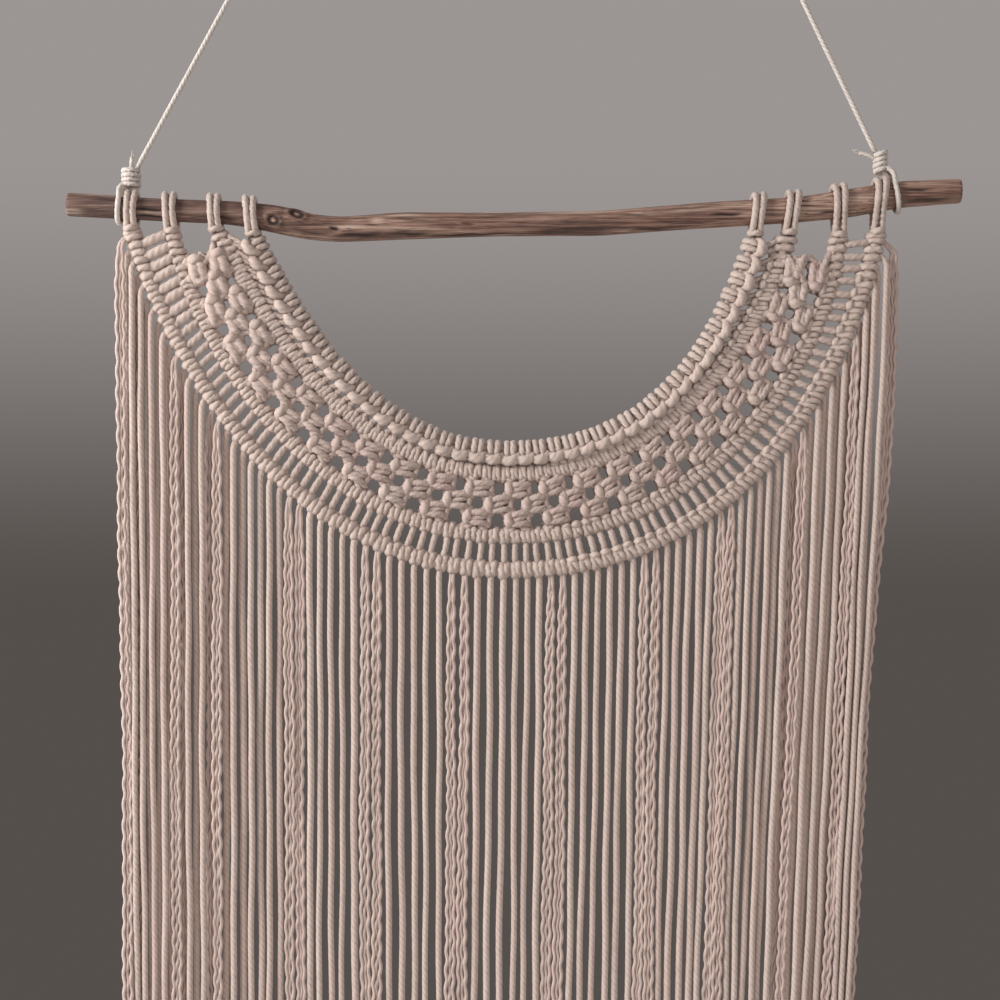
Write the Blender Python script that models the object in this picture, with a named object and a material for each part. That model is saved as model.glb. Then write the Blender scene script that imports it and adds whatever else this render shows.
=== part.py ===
"""Macrame wall hanging on a wooden branch.

Frame: metres, +Z up, front towards -Y. The origin is the place under the bend of the hanging
cord where a nail bears. Tables are in millimetres: x is measured from the nail, and drop is
measured down from the branch line, a level line through the middle of the branch.
"""
import math
from collections import namedtuple

import bpy
import bmesh
import numpy as np
from mathutils import Vector

MM = 0.001
GAP = 0.4 * MM                  # clearance between separate pieces

# ---- driving dimensions -------------------------------------------------------------------
BRANCH_LINE = -410.0 * MM       # height of the branch line, below the nail
STRAND_HALF = 1.6 * MM          # half the side of a square strand as heavy as a 4 mm twisted cord
TIE_CORD = 3.0 * MM             # cord that the branch hangs from
NAIL_BEND = 4.0 * MM            # bend of its middle line over the nail
MID_X = -12.3 * MM              # where the bars hang lowest
FRINGE_END = -893.0 * MM        # trimmed ends of the fringe
STRANDS_A_SIDE = 43             # cords each side of the middle, so 86 in all
RIGHT_SPREAD = 0.10             # on the right the cords spread wider towards the top by this share

Bar = namedtuple("Bar", "left_x left_drop left_lean_x left_lean_drop left_full "
                        "right_x right_drop right_lean_x right_lean_drop right_full "
                        "low_drop half_width ridge vale")
BARS = (
    Bar(-148.8, 12.3, 18.9, 36.3, 76.4, 118.0, 12.5, -24.2, 72.5, 67.7, 127.1, 5.9, 4.6, 3.2),
    Bar(-168.0, 10.0, 31.5, 55.9, 86.5, 135.5, 11.8, -17.9, 66.9, 76.2, 138.2, 4.5, 4.9, 3.6),
    Bar(-192.7, 11.1, 20.4, 80.5, 91.6, 163.4, 13.1, -8.5, 74.4, 100.4, 171.8, 4.5, 4.9, 3.6),
    Bar(-214.3, 9.6, 29.7, 92.5, 103.9, 183.5, 11.3, -22.2, 98.8, 107.7, 190.0, 5.2, 5.1, 3.8),
)
RUNG_HALF_COLUMNS = 0.27        # half a ladder strand's end, along the lowest bar
BOW = 0.1 * MM                  # a curved edge bows out past its flat facets by less than this
EDGE_HALF = 2.0 * MM            # half the thickness at the edges of a bar
SCALLOP = 0.5 * MM              # the top bar's edge swells in and out by this
SEAM = 0.8 * MM                 # valley between the two upper bars
SEAM_SPAN = 41                  # the two upper bars join between these columns, left and right

# The net of square knots between the second and third bars. Columns are counted from the
# middle, one to a cord, and each row of knots and gaps repeats every four columns.
NET_REPEAT = 4
NET_FIRST, NET_LAST = -41, 43
NET_HALF = 1.6 * MM             # half the thickness at the gaps
KNOT_HALF = 3.5 * MM            # half the thickness at the top of a knot
DIP = 0.75                      # share of it between the two peaks of a ridged knot
PEAK_STEP = 0.9                 # columns from a ridged knot's middle to either peak
GAP_HALF_COLUMNS = 0.6          # half the width of a gap
NetRow = namedtuple("NetRow", "above middle below first_gap open_from open_to ridged")
NET_ROWS = (
    NetRow(0 / 6, 1 / 6, 2 / 6, -41, -33, 39, False),
    NetRow(2 / 6, 3 / 6, 4 / 6, -43, -35, 37, True),
    NetRow(4 / 6, 5 / 6, 6 / 6, -41, -33, 39, False),
)

# Fringe: strands in two layers where they crowd. Some cords are untwisted, which makes them
# fuller and wavy.
CROWD_PITCH = 2.3 * MM          # least step between neighbouring strands at the sides
ROOT_OVERHANG = 0.6 * MM        # a strand at the sides hangs this far outside its root
FREE_PITCH = 5.6 * MM           # strands this far apart need no layers
LAYER = 2.2 * MM                # each layer's distance from the middle plane
ROOT_DROP = 5.5 * MM            # a strand turns to hang straight down within this
UNTWISTED = (-43, -40, -33, -32, -28, -27, -19, -18, -12, -11, -5, -4, 3, 4, 11, 12, 18, 19, 26, 27,
             35, 36, 42)
UNTWISTED_RINGS = 10
UNTWISTED_NARROW = 1.35 * MM
UNTWISTED_WIDE = 1.95 * MM
PLAIN_RINGS = 3
WANDER = 1.0 * MM               # how far a free strand strays sideways at its end
UNEVEN = 3.5 * MM               # the trimmed ends are uneven by this
SCATTER = (1.7, 0.6, 2.3, 3.0)  # steps of the sine waves that vary the strands
LEAN_AT = (-222.0 * MM, -180.0 * MM, -60.0 * MM, -12.0 * MM, 63.0 * MM, 103.0 * MM, 140.0 * MM,
           193.0 * MM)
LEAN = (-0.008, -0.003, 0.0, 0.010, 0.018, 0.032, 0.042, 0.050)     # share of the drop, leftwards

Station = namedtuple("Station", "x rise radius")
BRANCH = (
    Station(-249.3, 5.6, 5.6), Station(-245.0, 5.4, 6.2), Station(-204.9, 2.9, 6.0),
    Station(-162.1, 1.1, 6.4), Station(-143.4, -1.3, 7.3), Station(-132.7, -3.2, 7.8),
    Station(-119.3, -6.4, 7.1), Station(-103.3, -7.8, 6.8), Station(-71.2, -5.9, 7.2),
    Station(-17.7, -5.1, 6.3), Station(35.8, -4.5, 6.7), Station(89.3, -0.5, 7.0),
    Station(142.8, 2.9, 6.8), Station(169.6, 6.4, 7.6), Station(196.3, 11.0, 7.1),
    Station(224.0, 12.6, 6.7), Station(228.4, 12.8, 6.0),
)
BRANCH_SIDES = 10
BRANCH_STEP = 24.0 * MM
BRANCH_UNEVEN = 0.03            # its section swells and shrinks by this share
BRANCH_TURN = 30.0              # and turns by this many radians a metre
Twig = namedtuple("Twig", "x radius turn stand")     # cut twigs; turn is degrees up from the front
TWIGS = (Twig(-138.2, 3.3, -11.0, 1.0), Twig(-125.8, 3.0, 40.0, 0.9))

# Loops that carry the bars: each is a pair of cords over the branch, closed under it.
Loop = namedtuple("Loop", "name bar end top_x foot_x")
LOOPS = (
    Loop("loop_left_1", 3, "left", -214.5, -214.8), Loop("loop_left_2", 2, "left", -194.5, -193.2),
    Loop("loop_left_3", 1, "left", -170.7, -169.4), Loop("loop_left_4", 0, "left", -151.7, -149.6),
    Loop("loop_right_1", 0, "right", 120.9, 118.9), Loop("loop_right_2", 1, "right", 139.4, 136.9),
    Loop("loop_right_3", 2, "right", 163.4, 163.6), Loop("loop_right_4", 3, "right", 185.9, 184.0),
)
LOOP_HALF = 3.6 * MM            # half the width of a pair of cords
LOOP_THICK = 1.4 * MM
LOOP_FOOT_HALF = 4.5 * MM       # half the width of the wrap under the branch
LOOP_STATIONS = 12

# Wound tie knots of the hanging cord, standing on the branch, each with one turn round it.
Tie = namedtuple("Tie", "name x drop half_width half_height turn_top_x turn_foot_x tail_x tail_rise")
TIES = (
    Tie("tie_knot_left", -215.0, -20.6, 4.9, 6.2, -220.8, -223.6, 0.8, 11.0),
    Tie("tie_knot_right", 185.8, -27.8, 4.3, 7.0, 191.8, 195.0, -11.5, 5.5),
)
KNOT_SIDES = 8
KNOT_TURNS = 3                  # windings that show on a tie knot
KNOT_RIDGE = 0.07
KNOT_END = 0.96                 # share of its half height where the knot is closed flat


def drop_to_z(drop):
    return BRANCH_LINE - drop * MM


# ---- curves ------------------------------------------------------------------------------
def bezier(ends, samples=240):
    a, b, c, d = (np.array(end) for end in ends)
    t = np.linspace(0.0, 1.0, samples)[:, None]
    return (1 - t) ** 3 * a + 3 * (1 - t) ** 2 * t * b + 3 * (1 - t) * t ** 2 * c + t ** 3 * d


def half_bar(bar, side):
    """Points of one half of a bar, from the middle up to its end, and the length to each."""
    x, drop, lean_x, lean_drop, full = (
        (bar.left_x, bar.left_drop, bar.left_lean_x, bar.left_lean_drop, bar.left_full) if side < 0
        else (bar.right_x, bar.right_drop, bar.right_lean_x, bar.right_lean_drop, bar.right_full))
    low = (MID_X, drop_to_z(bar.low_drop))
    ends = (low, (MID_X + side * full * MM, low[1]),
            ((x + lean_x) * MM, drop_to_z(drop + lean_drop)), (x * MM, drop_to_z(drop)))
    points = bezier(ends)
    steps = np.hypot(*np.diff(points, axis=0).T)
    return points, np.concatenate(((0.0,), np.cumsum(steps)))


HALVES = {(n, side): half_bar(bar, side) for n, bar in enumerate(BARS) for side in (-1, 1)}


def bar_point(n, column):
    """The middle line of bar n at a column, one to a cord, counted from the middle."""
    points, length = HALVES[n, -1 if column < 0 else 1]
    share = min(abs(column) / STRANDS_A_SIDE, 1.0)
    if column > 0:
        share *= 1.0 - RIGHT_SPREAD * (1.0 - share)
    at = share * length[-1]
    return Vector((np.interp(at, length, points[:, 0]), np.interp(at, length, points[:, 1])))


def across(n, column):
    """Unit direction from bar n to the next bar outwards."""
    return (bar_point(n + 1, column) - bar_point(n, column)).normalized()


def along(n, column):
    """Unit direction square to across, towards the right-hand end."""
    direction = across(n, column)
    return Vector((-direction.y, direction.x))


def branch_at(x):
    """Height of the branch's middle, and its radius, at x."""
    xs = [station.x * MM for station in BRANCH]
    rise = np.interp(x, xs, [station.rise * MM for station in BRANCH])
    radius = np.interp(x, xs, [station.radius * MM for station in BRANCH])
    return BRANCH_LINE + rise, radius


# ---- solids --------------------------------------------------------------------------------
class Sheet:
    """A solid laid out flat in X and Z, where each point has its own thickness and set-back."""

    def __init__(self):
        self.points = {}
        self.faces = []

    def point(self, key, place, half, back=0.0):
        self.points[key] = (place[0], place[1], half, back)

    def face(self, *keys):
        """Adds a face, turned so that it runs the same way round as its neighbours."""
        flat = [self.points[key][:2] for key in keys]
        area = sum(a[0] * b[1] - b[0] * a[1] for a, b in zip(flat, flat[1:] + flat[:1]))
        self.faces.append(keys if area > 0 else keys[::-1])

    def fan(self, ring, hub):
        for a, b in zip(ring, ring[1:] + ring[:1]):
            self.face(hub, a, b)

    def mesh(self, name):
        """Front and back faces, and a wall along every edge that only one face uses."""
        bm = bmesh.new()
        front = {k: bm.verts.new((x, back - half, z)) for k, (x, z, half, back) in self.points.items()}
        rear = {k: bm.verts.new((x, back + half, z)) for k, (x, z, half, back) in self.points.items()}
        edges = set()
        for keys in self.faces:
            bm.faces.new([front[k] for k in keys])
            bm.faces.new([rear[k] for k in reversed(keys)])
            edges.update(zip(keys, keys[1:] + keys[:1]))
        for a, b in edges:
            if (b, a) not in edges:
                bm.faces.new((front[b], front[a], rear[a], rear[b]))
        return finish_mesh(bm, name)


def finish_mesh(bm, name):
    bmesh.ops.triangulate(bm, faces=bm.faces[:])
    bmesh.ops.recalc_face_normals(bm, faces=bm.faces[:])
    mesh = bpy.data.meshes.new(name)
    bm.to_mesh(mesh)
    bm.free()
    return mesh


def skin(rings, name, closed=False):
    """Joins rings of points into one tube, capped unless it closes on itself."""
    bm = bmesh.new()
    rows = [[bm.verts.new(point) for point in ring] for ring in rings]
    pairs = list(zip(rows, rows[1:] + rows[:1] if closed else rows[1:]))
    for first, second in pairs:
        for k in range(len(first)):
            after = (k + 1) % len(first)
            bm.faces.new((first[k], first[after], second[after], second[k]))
    if not closed:
        bm.faces.new(rows[0])
        bm.faces.new(rows[-1])
    return finish_mesh(bm, name)


def tube(path, radius, sides, name):
    """A round tube along a list of points."""
    rings = []
    side = None
    for i, point in enumerate(path):
        direction = (path[min(i + 1, len(path) - 1)] - path[max(i - 1, 0)]).normalized()
        if side is None:
            side = direction.orthogonal()
        side = (side - direction * side.dot(direction)).normalized()
        other = direction.cross(side)
        turns = [2 * math.pi * k / sides for k in range(sides)]
        rings.append([point + (side * math.cos(t) + other * math.sin(t)) * radius for t in turns])
    return skin(rings, name)


def add_object(name, shape, finish):
    piece = bpy.data.objects.new(name, shape)
    bpy.context.scene.collection.objects.link(piece)
    shape.materials.append(finish)
    return piece


def join_solids(name, meshes, finish):
    """Unites overlapping solids into one."""
    body = add_object(name, meshes[0], finish)
    for k, mesh in enumerate(meshes[1:]):
        helper = add_object(f"{name}_join_{k}", mesh, finish)
        helper.hide_render = True
        helper.display_type = "WIRE"
        union = body.modifiers.new(f"join_{k}", "BOOLEAN")
        union.operation = "UNION"
        union.solver = "EXACT"
        union.object = helper
    return body


def material(name, colour, roughness):
    """A dull surface of one colour."""
    made = bpy.data.materials.new(name)
    made.use_nodes = True
    shader = made.node_tree.nodes["Principled BSDF"]
    shader.inputs["Base Color"].default_value = (*colour, 1.0)
    shader.inputs["Roughness"].default_value = roughness
    shader.inputs["Metallic"].default_value = 0.0
    return made


# ---- knotwork collar -----------------------------------------------------------------------
def bar_depth(n, column):
    """Half the thickness on a bar's crest: a ridge at every other column."""
    return (BARS[n].ridge if column % 2 == 0 else BARS[n].vale) * MM


def lay_bar(sheet, n, columns):
    """Lays the crest and the inner half of bar n."""
    width = BARS[n].half_width * MM
    for column in columns:
        middle = bar_point(n, column)
        cross = across(max(n - 1, 0), column)
        swell = SCALLOP * (1 if column % 2 == 0 else -1) if n == 0 else 0.0
        sheet.point((n, "in", column), middle - cross * (width + swell), EDGE_HALF)
        sheet.point((n, "mid", column), middle, bar_depth(n, column))
    for a in columns[:-1]:
        sheet.face((n, "in", a), (n, "in", a + 1), (n, "mid", a + 1), (n, "mid", a))


def lay_outer_half(sheet, n, columns, places):
    """Lays the outer half of a bar whose outer edge runs through one place a column."""
    for column, place in zip(columns, places):
        sheet.point((n, "out", column), place, EDGE_HALF)
    for a in columns[:-1]:
        sheet.face((n, "mid", a), (n, "mid", a + 1), (n, "out", a + 1), (n, "out", a))


def lay_rooted_half(sheet, n, columns, roots):
    """Lays the outer half of a bar with a strand rooted between every two columns."""
    for a in columns[:-1]:
        left, right = roots(a)
        sheet.point((n, "root", a, -1), *left)
        sheet.point((n, "root", a, 1), *right)
        sheet.face((n, "mid", a), (n, "mid", a + 1), (n, "root", a, 1), (n, "root", a, -1))
        if a > columns[0]:
            sheet.face((n, "mid", a), (n, "root", a, -1), (n, "root", a - 1, 1))


def net_place(column, share):
    """A place in the net: share runs from the second bar, 0, to the third, 1."""
    cross = across(1, column)
    upper = bar_point(1, column) + cross * BARS[1].half_width * MM
    lower = bar_point(2, column) - cross * BARS[2].half_width * MM
    return upper.lerp(lower, share)


def net_key(sheet, column, share):
    """The point of a net line at a column; the outer lines are the edges of the bars."""
    if share == 0:
        return (1, "out", column)
    if share == 1:
        return (2, "in", column)
    key = ("net", column, round(share * 6))
    if key not in sheet.points:
        sheet.point(key, net_place(column, share), NET_HALF)
    return key


def net_line(sheet, first, last, share):
    """Points along a net line: at every column on a bar's edge, at every second one inside."""
    step = 1 if share in (0, 1) else 2
    return [net_key(sheet, column, share) for column in range(first, last + 1, step)]


def lay_knot(sheet, row, ring, middle):
    """A knot's faces rise from its ring to one peak, or to two with a dip between them."""
    if not row.ridged:
        hub = ("knot", row.middle, middle)
        sheet.point(hub, net_place(middle, row.middle), KNOT_HALF)
        sheet.fan(ring, hub)
        return
    peaks = {}
    for side in (-1, 1):
        peaks[side] = ("knot", row.middle, middle, side)
        sheet.point(peaks[side], net_place(middle + side * PEAK_STEP, row.middle), KNOT_HALF)
    dip = ("knot", row.middle, middle, 0)
    sheet.point(dip, net_place(middle, row.middle), KNOT_HALF * DIP)
    half = len(ring) // 2
    sheet.fan([dip] + ring[1:2 + half], peaks[1])
    sheet.fan([dip] + ring[1 + half:] + ring[:2], peaks[-1])


def lay_net(sheet):
    """Rows of knots with diamond gaps between them."""
    for row in NET_ROWS:
        gaps = [c for c in range(row.first_gap, NET_LAST + 1, NET_REPEAT)]
        for gap in gaps:
            for side in (-1, 1):
                place = net_place(gap + side * GAP_HALF_COLUMNS, row.middle)
                sheet.point(("gap", row.middle, gap, side), place, NET_HALF)
            inside = NET_FIRST < gap < NET_LAST
            if inside and not row.open_from <= gap <= row.open_to:
                sheet.face(net_key(sheet, gap, row.above), ("gap", row.middle, gap, -1),
                           net_key(sheet, gap, row.below), ("gap", row.middle, gap, 1))
        for gap in gaps:
            after = gap + NET_REPEAT
            if gap >= NET_FIRST and after <= NET_LAST:
                upper = net_line(sheet, gap, after, row.above)
                lower = net_line(sheet, gap, after, row.below)
                ring = upper + [("gap", row.middle, after, -1)] + lower[::-1] + [("gap", row.middle, gap, 1)]
                lay_knot(sheet, row, ring, gap + NET_REPEAT // 2)
    lay_net_ends(sheet, NET_ROWS[1])


def lay_net_ends(sheet, row):
    """Half a knot closes the middle row at each end."""
    for edge, gap, side in ((NET_FIRST, NET_FIRST + 2, -1), (NET_LAST, NET_LAST - 2, 1)):
        sheet.face(net_key(sheet, edge, row.above), net_key(sheet, gap, row.above),
                   ("gap", row.middle, gap, side),
                   net_key(sheet, gap, row.below), net_key(sheet, edge, row.below))


def rung_root(column):
    """The two corners of a ladder strand on the third bar's edge."""
    at = column + 0.5
    middle = bar_point(2, at) + across(2, at) * BARS[2].half_width * MM
    step = along(2, at) * STRAND_HALF
    return (middle - step, STRAND_HALF), (middle + step, STRAND_HALF)


def lay_ladder(sheet, columns):
    """Strands cross from the third bar to the edge of the fourth."""
    for a in columns[:-1]:
        for side in (-1, 1):
            at = a + 0.5 + side * RUNG_HALF_COLUMNS
            end = bar_point(3, at) - across(2, at) * (BARS[3].half_width * MM + GAP + BOW)
            sheet.point(("rung", a, side), end, STRAND_HALF)
        sheet.face((2, "root", a, -1), (2, "root", a, 1), ("rung", a, 1), ("rung", a, -1))


def collar_mesh():
    sheet = Sheet()
    columns = list(range(-STRANDS_A_SIDE, STRANDS_A_SIDE + 1))
    for n in range(3):
        lay_bar(sheet, n, columns)
    seam = [c for c in columns if abs(c) <= SEAM_SPAN]
    upper_edge = []
    for column in columns:
        cross = across(0, column)
        to_seam = bar_point(1, column) - cross * (BARS[1].half_width * MM + SEAM)
        free = bar_point(0, column) + cross * BARS[0].half_width * MM
        upper_edge.append(to_seam if column in seam else free)
    lay_outer_half(sheet, 0, columns, upper_edge)
    for a in seam[:-1]:
        sheet.face((0, "out", a), (0, "out", a + 1), (1, "in", a + 1), (1, "in", a))
    lay_outer_half(sheet, 1, columns, [net_place(column, 0.0) for column in columns])
    lay_net(sheet)
    lay_rooted_half(sheet, 2, columns, rung_root)
    lay_ladder(sheet, columns)
    return sheet.mesh("collar")


# ---- fringe --------------------------------------------------------------------------------
def strand_places():
    """Where each strand hangs: under its root, but never closer than CROWD_PITCH."""
    places = {}
    for side in (-1, 1):
        previous = None
        for step in range(STRANDS_A_SIDE):
            index = step if side > 0 else -1 - step
            at = index + 0.5
            cross = across(2, at)
            place = bar_point(3, at) + cross * BARS[3].half_width * MM
            x = place.x + cross.x * ROOT_OVERHANG
            if previous is not None:
                x = side * max(side * x, side * previous + CROWD_PITCH)
            places[index] = x
            previous = x
    return places


HANG_X = strand_places()


def layer_of(index):
    """Set-back of a strand: crowded neighbours hang in front and behind by turns."""
    near = [abs(HANG_X[index] - HANG_X[other]) for other in (index - 1, index + 1) if other in HANG_X]
    crowd = 1.0 - (min(near) - CROWD_PITCH) / (FREE_PITCH - CROWD_PITCH)
    return LAYER * max(0.0, min(1.0, crowd * 2.0)) * (1 if index % 2 == 0 else -1)


def strand_x(index, drop):
    """Sideways place of a strand at a drop below its root."""
    share = drop / (BRANCH_LINE - FRINGE_END)
    room = max(0.0, (FREE_PITCH - LAYER - abs(layer_of(index))) / FREE_PITCH)
    stray = WANDER * room * share * math.sin(SCATTER[2] * index + SCATTER[3] * share)
    return HANG_X[index] - np.interp(HANG_X[index], LEAN_AT, LEAN) * drop + stray


def is_untwisted(index):
    return index in UNTWISTED


def fringe_root(index):
    at = index + 0.5
    middle = bar_point(3, at) + across(2, at) * BARS[3].half_width * MM
    step = along(2, at) * STRAND_HALF
    back = layer_of(index)
    return (middle - step, STRAND_HALF, back), (middle + step, STRAND_HALF, back)


def lay_strand(sheet, index):
    """A square strand from its root on the lowest bar down to the trimmed end."""
    at = index + 0.5
    root = bar_point(3, at) + across(2, at) * BARS[3].half_width * MM
    end = FRINGE_END + UNEVEN * math.sin(SCATTER[0] * index) * math.cos(SCATTER[1] * index)
    start = root.y - ROOT_DROP
    rings = UNTWISTED_RINGS if is_untwisted(index) else PLAIN_RINGS
    above = ((3, "root", index, -1), (3, "root", index, 1))
    for ring in range(rings + 1):
        z = start + (end - start) * ring / rings
        half = STRAND_HALF
        if is_untwisted(index) and ring:
            half = UNTWISTED_WIDE if (ring + index) % 2 else UNTWISTED_NARROW
        x = strand_x(index, root.y - z)
        below = (("strand", index, ring, -1), ("strand", index, ring, 1))
        sheet.point(below[0], (x - half, z), half, layer_of(index))
        sheet.point(below[1], (x + half, z), half, layer_of(index))
        sheet.face(above[0], above[1], below[1], below[0])
        above = below


def fringe_mesh():
    sheet = Sheet()
    columns = list(range(-STRANDS_A_SIDE, STRANDS_A_SIDE + 1))
    lay_bar(sheet, 3, columns)
    lay_rooted_half(sheet, 3, columns, fringe_root)
    for index in columns[:-1]:
        lay_strand(sheet, index)
    return sheet.mesh("fringe")


# ---- branch, loops and ties ----------------------------------------------------------------
def branch_mesh():
    """A crooked round branch whose section is slightly uneven."""
    start, end = BRANCH[0].x * MM, BRANCH[-1].x * MM
    xs = sorted({station.x * MM for station in BRANCH}
                | set(np.arange(start + BRANCH_STEP, end - BRANCH_STEP / 2, BRANCH_STEP)))
    rings = []
    for x in xs:
        z, radius = branch_at(x)
        ring = []
        for k in range(BRANCH_SIDES):
            turn = 2 * math.pi * k / BRANCH_SIDES
            reach = radius * (1 - BRANCH_UNEVEN + BRANCH_UNEVEN * math.sin(2 * turn + BRANCH_TURN * x))
            ring.append((x, reach * math.cos(turn), z + reach * math.sin(turn)))
        rings.append(ring)
    return skin(rings, "branch")


def twig_mesh(twig):
    """A twig cut off short, standing proud of the branch."""
    z, radius = branch_at(twig.x * MM)
    turn = math.radians(twig.turn)
    out = Vector((0.0, -math.cos(turn), math.sin(turn)))
    middle = Vector((twig.x * MM, 0.0, z))
    path = [middle + out * radius * 0.5, middle + out * (radius + twig.stand * MM)]
    return tube(path, twig.radius * MM, 9, "twig")


def loop_mesh(loop):
    """A closed band of two cords: over the branch, down both sides, joined in a wrap below."""
    column = -STRANDS_A_SIDE if loop.end == "left" else STRANDS_A_SIDE
    end_tilt = abs(across(min(loop.bar, 2), column).y) + abs(across(max(loop.bar - 1, 0), column).y)
    foot_z = bar_point(loop.bar, column).y + end_tilt * BARS[loop.bar].half_width * MM + GAP
    rings = []
    for k in range(LOOP_STATIONS):
        turn = 2 * math.pi * k / LOOP_STATIONS
        low = (1 - math.cos(turn)) / 2          # 0 over the branch, 1 under it
        x = loop.top_x * MM * (1 - low) + loop.foot_x * MM * low
        z, radius = branch_at(x)
        under = k in (LOOP_STATIONS // 2 - 1, LOOP_STATIONS // 2, LOOP_STATIONS // 2 + 1)
        inner = radius + GAP
        foot = z - foot_z - inner
        thick = foot / 2 if k == LOOP_STATIONS // 2 else LOOP_THICK
        wide = LOOP_FOOT_HALF if under else LOOP_HALF
        out = Vector((0.0, -math.sin(turn), math.cos(turn)))
        reach = (inner + thick) / math.cos(math.pi / LOOP_STATIONS)
        middle = Vector((x, 0.0, z)) + out * reach
        groove = thick * (0.9 if under else 0.35)
        shape = ((-wide, 0), (-wide / 2, thick), (0, groove), (wide / 2, thick),
                 (wide, 0), (wide / 2, -thick), (0, -thick), (-wide / 2, -thick))
        rings.append([middle + Vector((along_x, 0, 0)) + out * up for along_x, up in shape])
    return skin(rings, loop.name, closed=True)


def tie_meshes(tie):
    """The wound knot, its turn round the branch, and the short tail."""
    middle = Vector((tie.x * MM, 0.0, drop_to_z(tie.drop)))
    half_height = tie.half_height * MM
    steps = 4 * KNOT_TURNS
    rings = []
    for k in range(steps + 1):
        share = KNOT_END * (2 * k / steps - 1)
        ridge = 1 + KNOT_RIDGE * math.cos(2 * math.pi * KNOT_TURNS * k / steps)
        radius = tie.half_width * MM * math.sqrt(1 - share ** 4) * ridge
        turns = [2 * math.pi * n / KNOT_SIDES for n in range(KNOT_SIDES)]
        rings.append([middle + Vector((radius * math.cos(t), radius * math.sin(t), share * half_height))
                      for t in turns])
    knot = skin(rings, tie.name)

    radius = TIE_CORD / 2
    foot_x, top_x = tie.turn_foot_x * MM, tie.turn_top_x * MM
    z, branch_radius = branch_at(foot_x)
    reach = (branch_radius + GAP + radius) / math.cos(math.pi / 12)
    path = []
    for degrees in range(-120, 121, 30):
        turn = math.radians(degrees)
        high = (1 - math.cos(turn)) / 2         # 0 under the branch, towards 1 over it
        x = foot_x + (top_x - foot_x) * high
        path.append(Vector((x, reach * math.sin(turn), z - reach * math.cos(turn))))
    for side in (-1, 1):
        beside = Vector((top_x, side * radius * 1.8, middle.z - half_height * 0.6))
        inside = Vector((middle.x, side * radius * 0.5, middle.z - half_height * 0.2))
        path = [inside, beside] + path if side < 0 else path + [beside, inside]
    turn_round = tube(path, radius, 6, tie.name)

    tail_end = middle + Vector((tie.tail_x * MM, 0.0, tie.tail_rise * MM))
    tail = tube([middle, tail_end], radius * 0.8, 5, tie.name)
    return knot, turn_round, tail


def hanging_cord(material_used):
    """The cord from one tie knot over the nail to the other, straight but for its bend."""
    centre = Vector((0.0, 0.0, TIE_CORD / 2 - NAIL_BEND))
    path = []
    for tie in TIES:
        knot = Vector((tie.x * MM, 0.0, drop_to_z(tie.drop)))
        side = 1 if knot.x > 0 else -1
        reach = (knot - centre).length
        to_knot = math.atan2(knot.z - centre.z, side * (knot.x - centre.x))
        touch = to_knot + math.acos(NAIL_BEND / reach)
        leave = centre + Vector((side * math.cos(touch), 0.0, math.sin(touch))) * NAIL_BEND
        direction = (leave - knot).normalized()
        clear = (tie.half_height + 1.0) * MM + GAP
        leg = [(knot + direction * clear).lerp(leave, k / 6) for k in range(7)]
        bend = [centre + Vector((side * math.cos(touch + (math.pi / 2 - touch) * k / 4), 0.0,
                                 math.sin(touch + (math.pi / 2 - touch) * k / 4))) * NAIL_BEND
                for k in range(1, 4)]
        half = leg + bend
        path = half if not path else path + [centre + Vector((0.0, 0.0, NAIL_BEND))] + half[::-1]
    curve = bpy.data.curves.new("hanging_cord", "CURVE")
    curve.dimensions = "3D"
    spline = curve.splines.new("POLY")
    spline.points.add(len(path) - 1)
    for point, place in zip(spline.points, path):
        point.co = (*place, 1.0)
    curve.bevel_depth = TIE_CORD / 2
    curve.bevel_resolution = 2
    curve.use_fill_caps = True
    curve.materials.append(material_used)
    cord = bpy.data.objects.new("hanging_cord", curve)
    bpy.context.scene.collection.objects.link(cord)


def build():
    for old in list(bpy.data.objects):
        bpy.data.objects.remove(old)
    wood = material("driftwood", (0.29, 0.17, 0.12), 0.72)
    knotted = material("knotted_cotton", (0.60, 0.50, 0.43), 0.92)
    hanging = material("hanging_cotton", (0.58, 0.47, 0.41), 0.92)
    loops = material("loop_cotton", (0.66, 0.58, 0.51), 0.92)
    cord = material("cord_cotton", (0.66, 0.60, 0.54), 0.92)
    join_solids("branch", [branch_mesh()] + [twig_mesh(twig) for twig in TWIGS], wood)
    add_object("collar", collar_mesh(), knotted)
    add_object("fringe", fringe_mesh(), hanging)
    for loop in LOOPS:
        add_object(loop.name, loop_mesh(loop), loops)
    for tie in TIES:
        join_solids(tie.name, tie_meshes(tie), cord)
    hanging_cord(cord)


build()
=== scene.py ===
"""Macrame wall hanging on a driftwood branch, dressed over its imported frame. Sizes are in millimetres."""
import math

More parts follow.
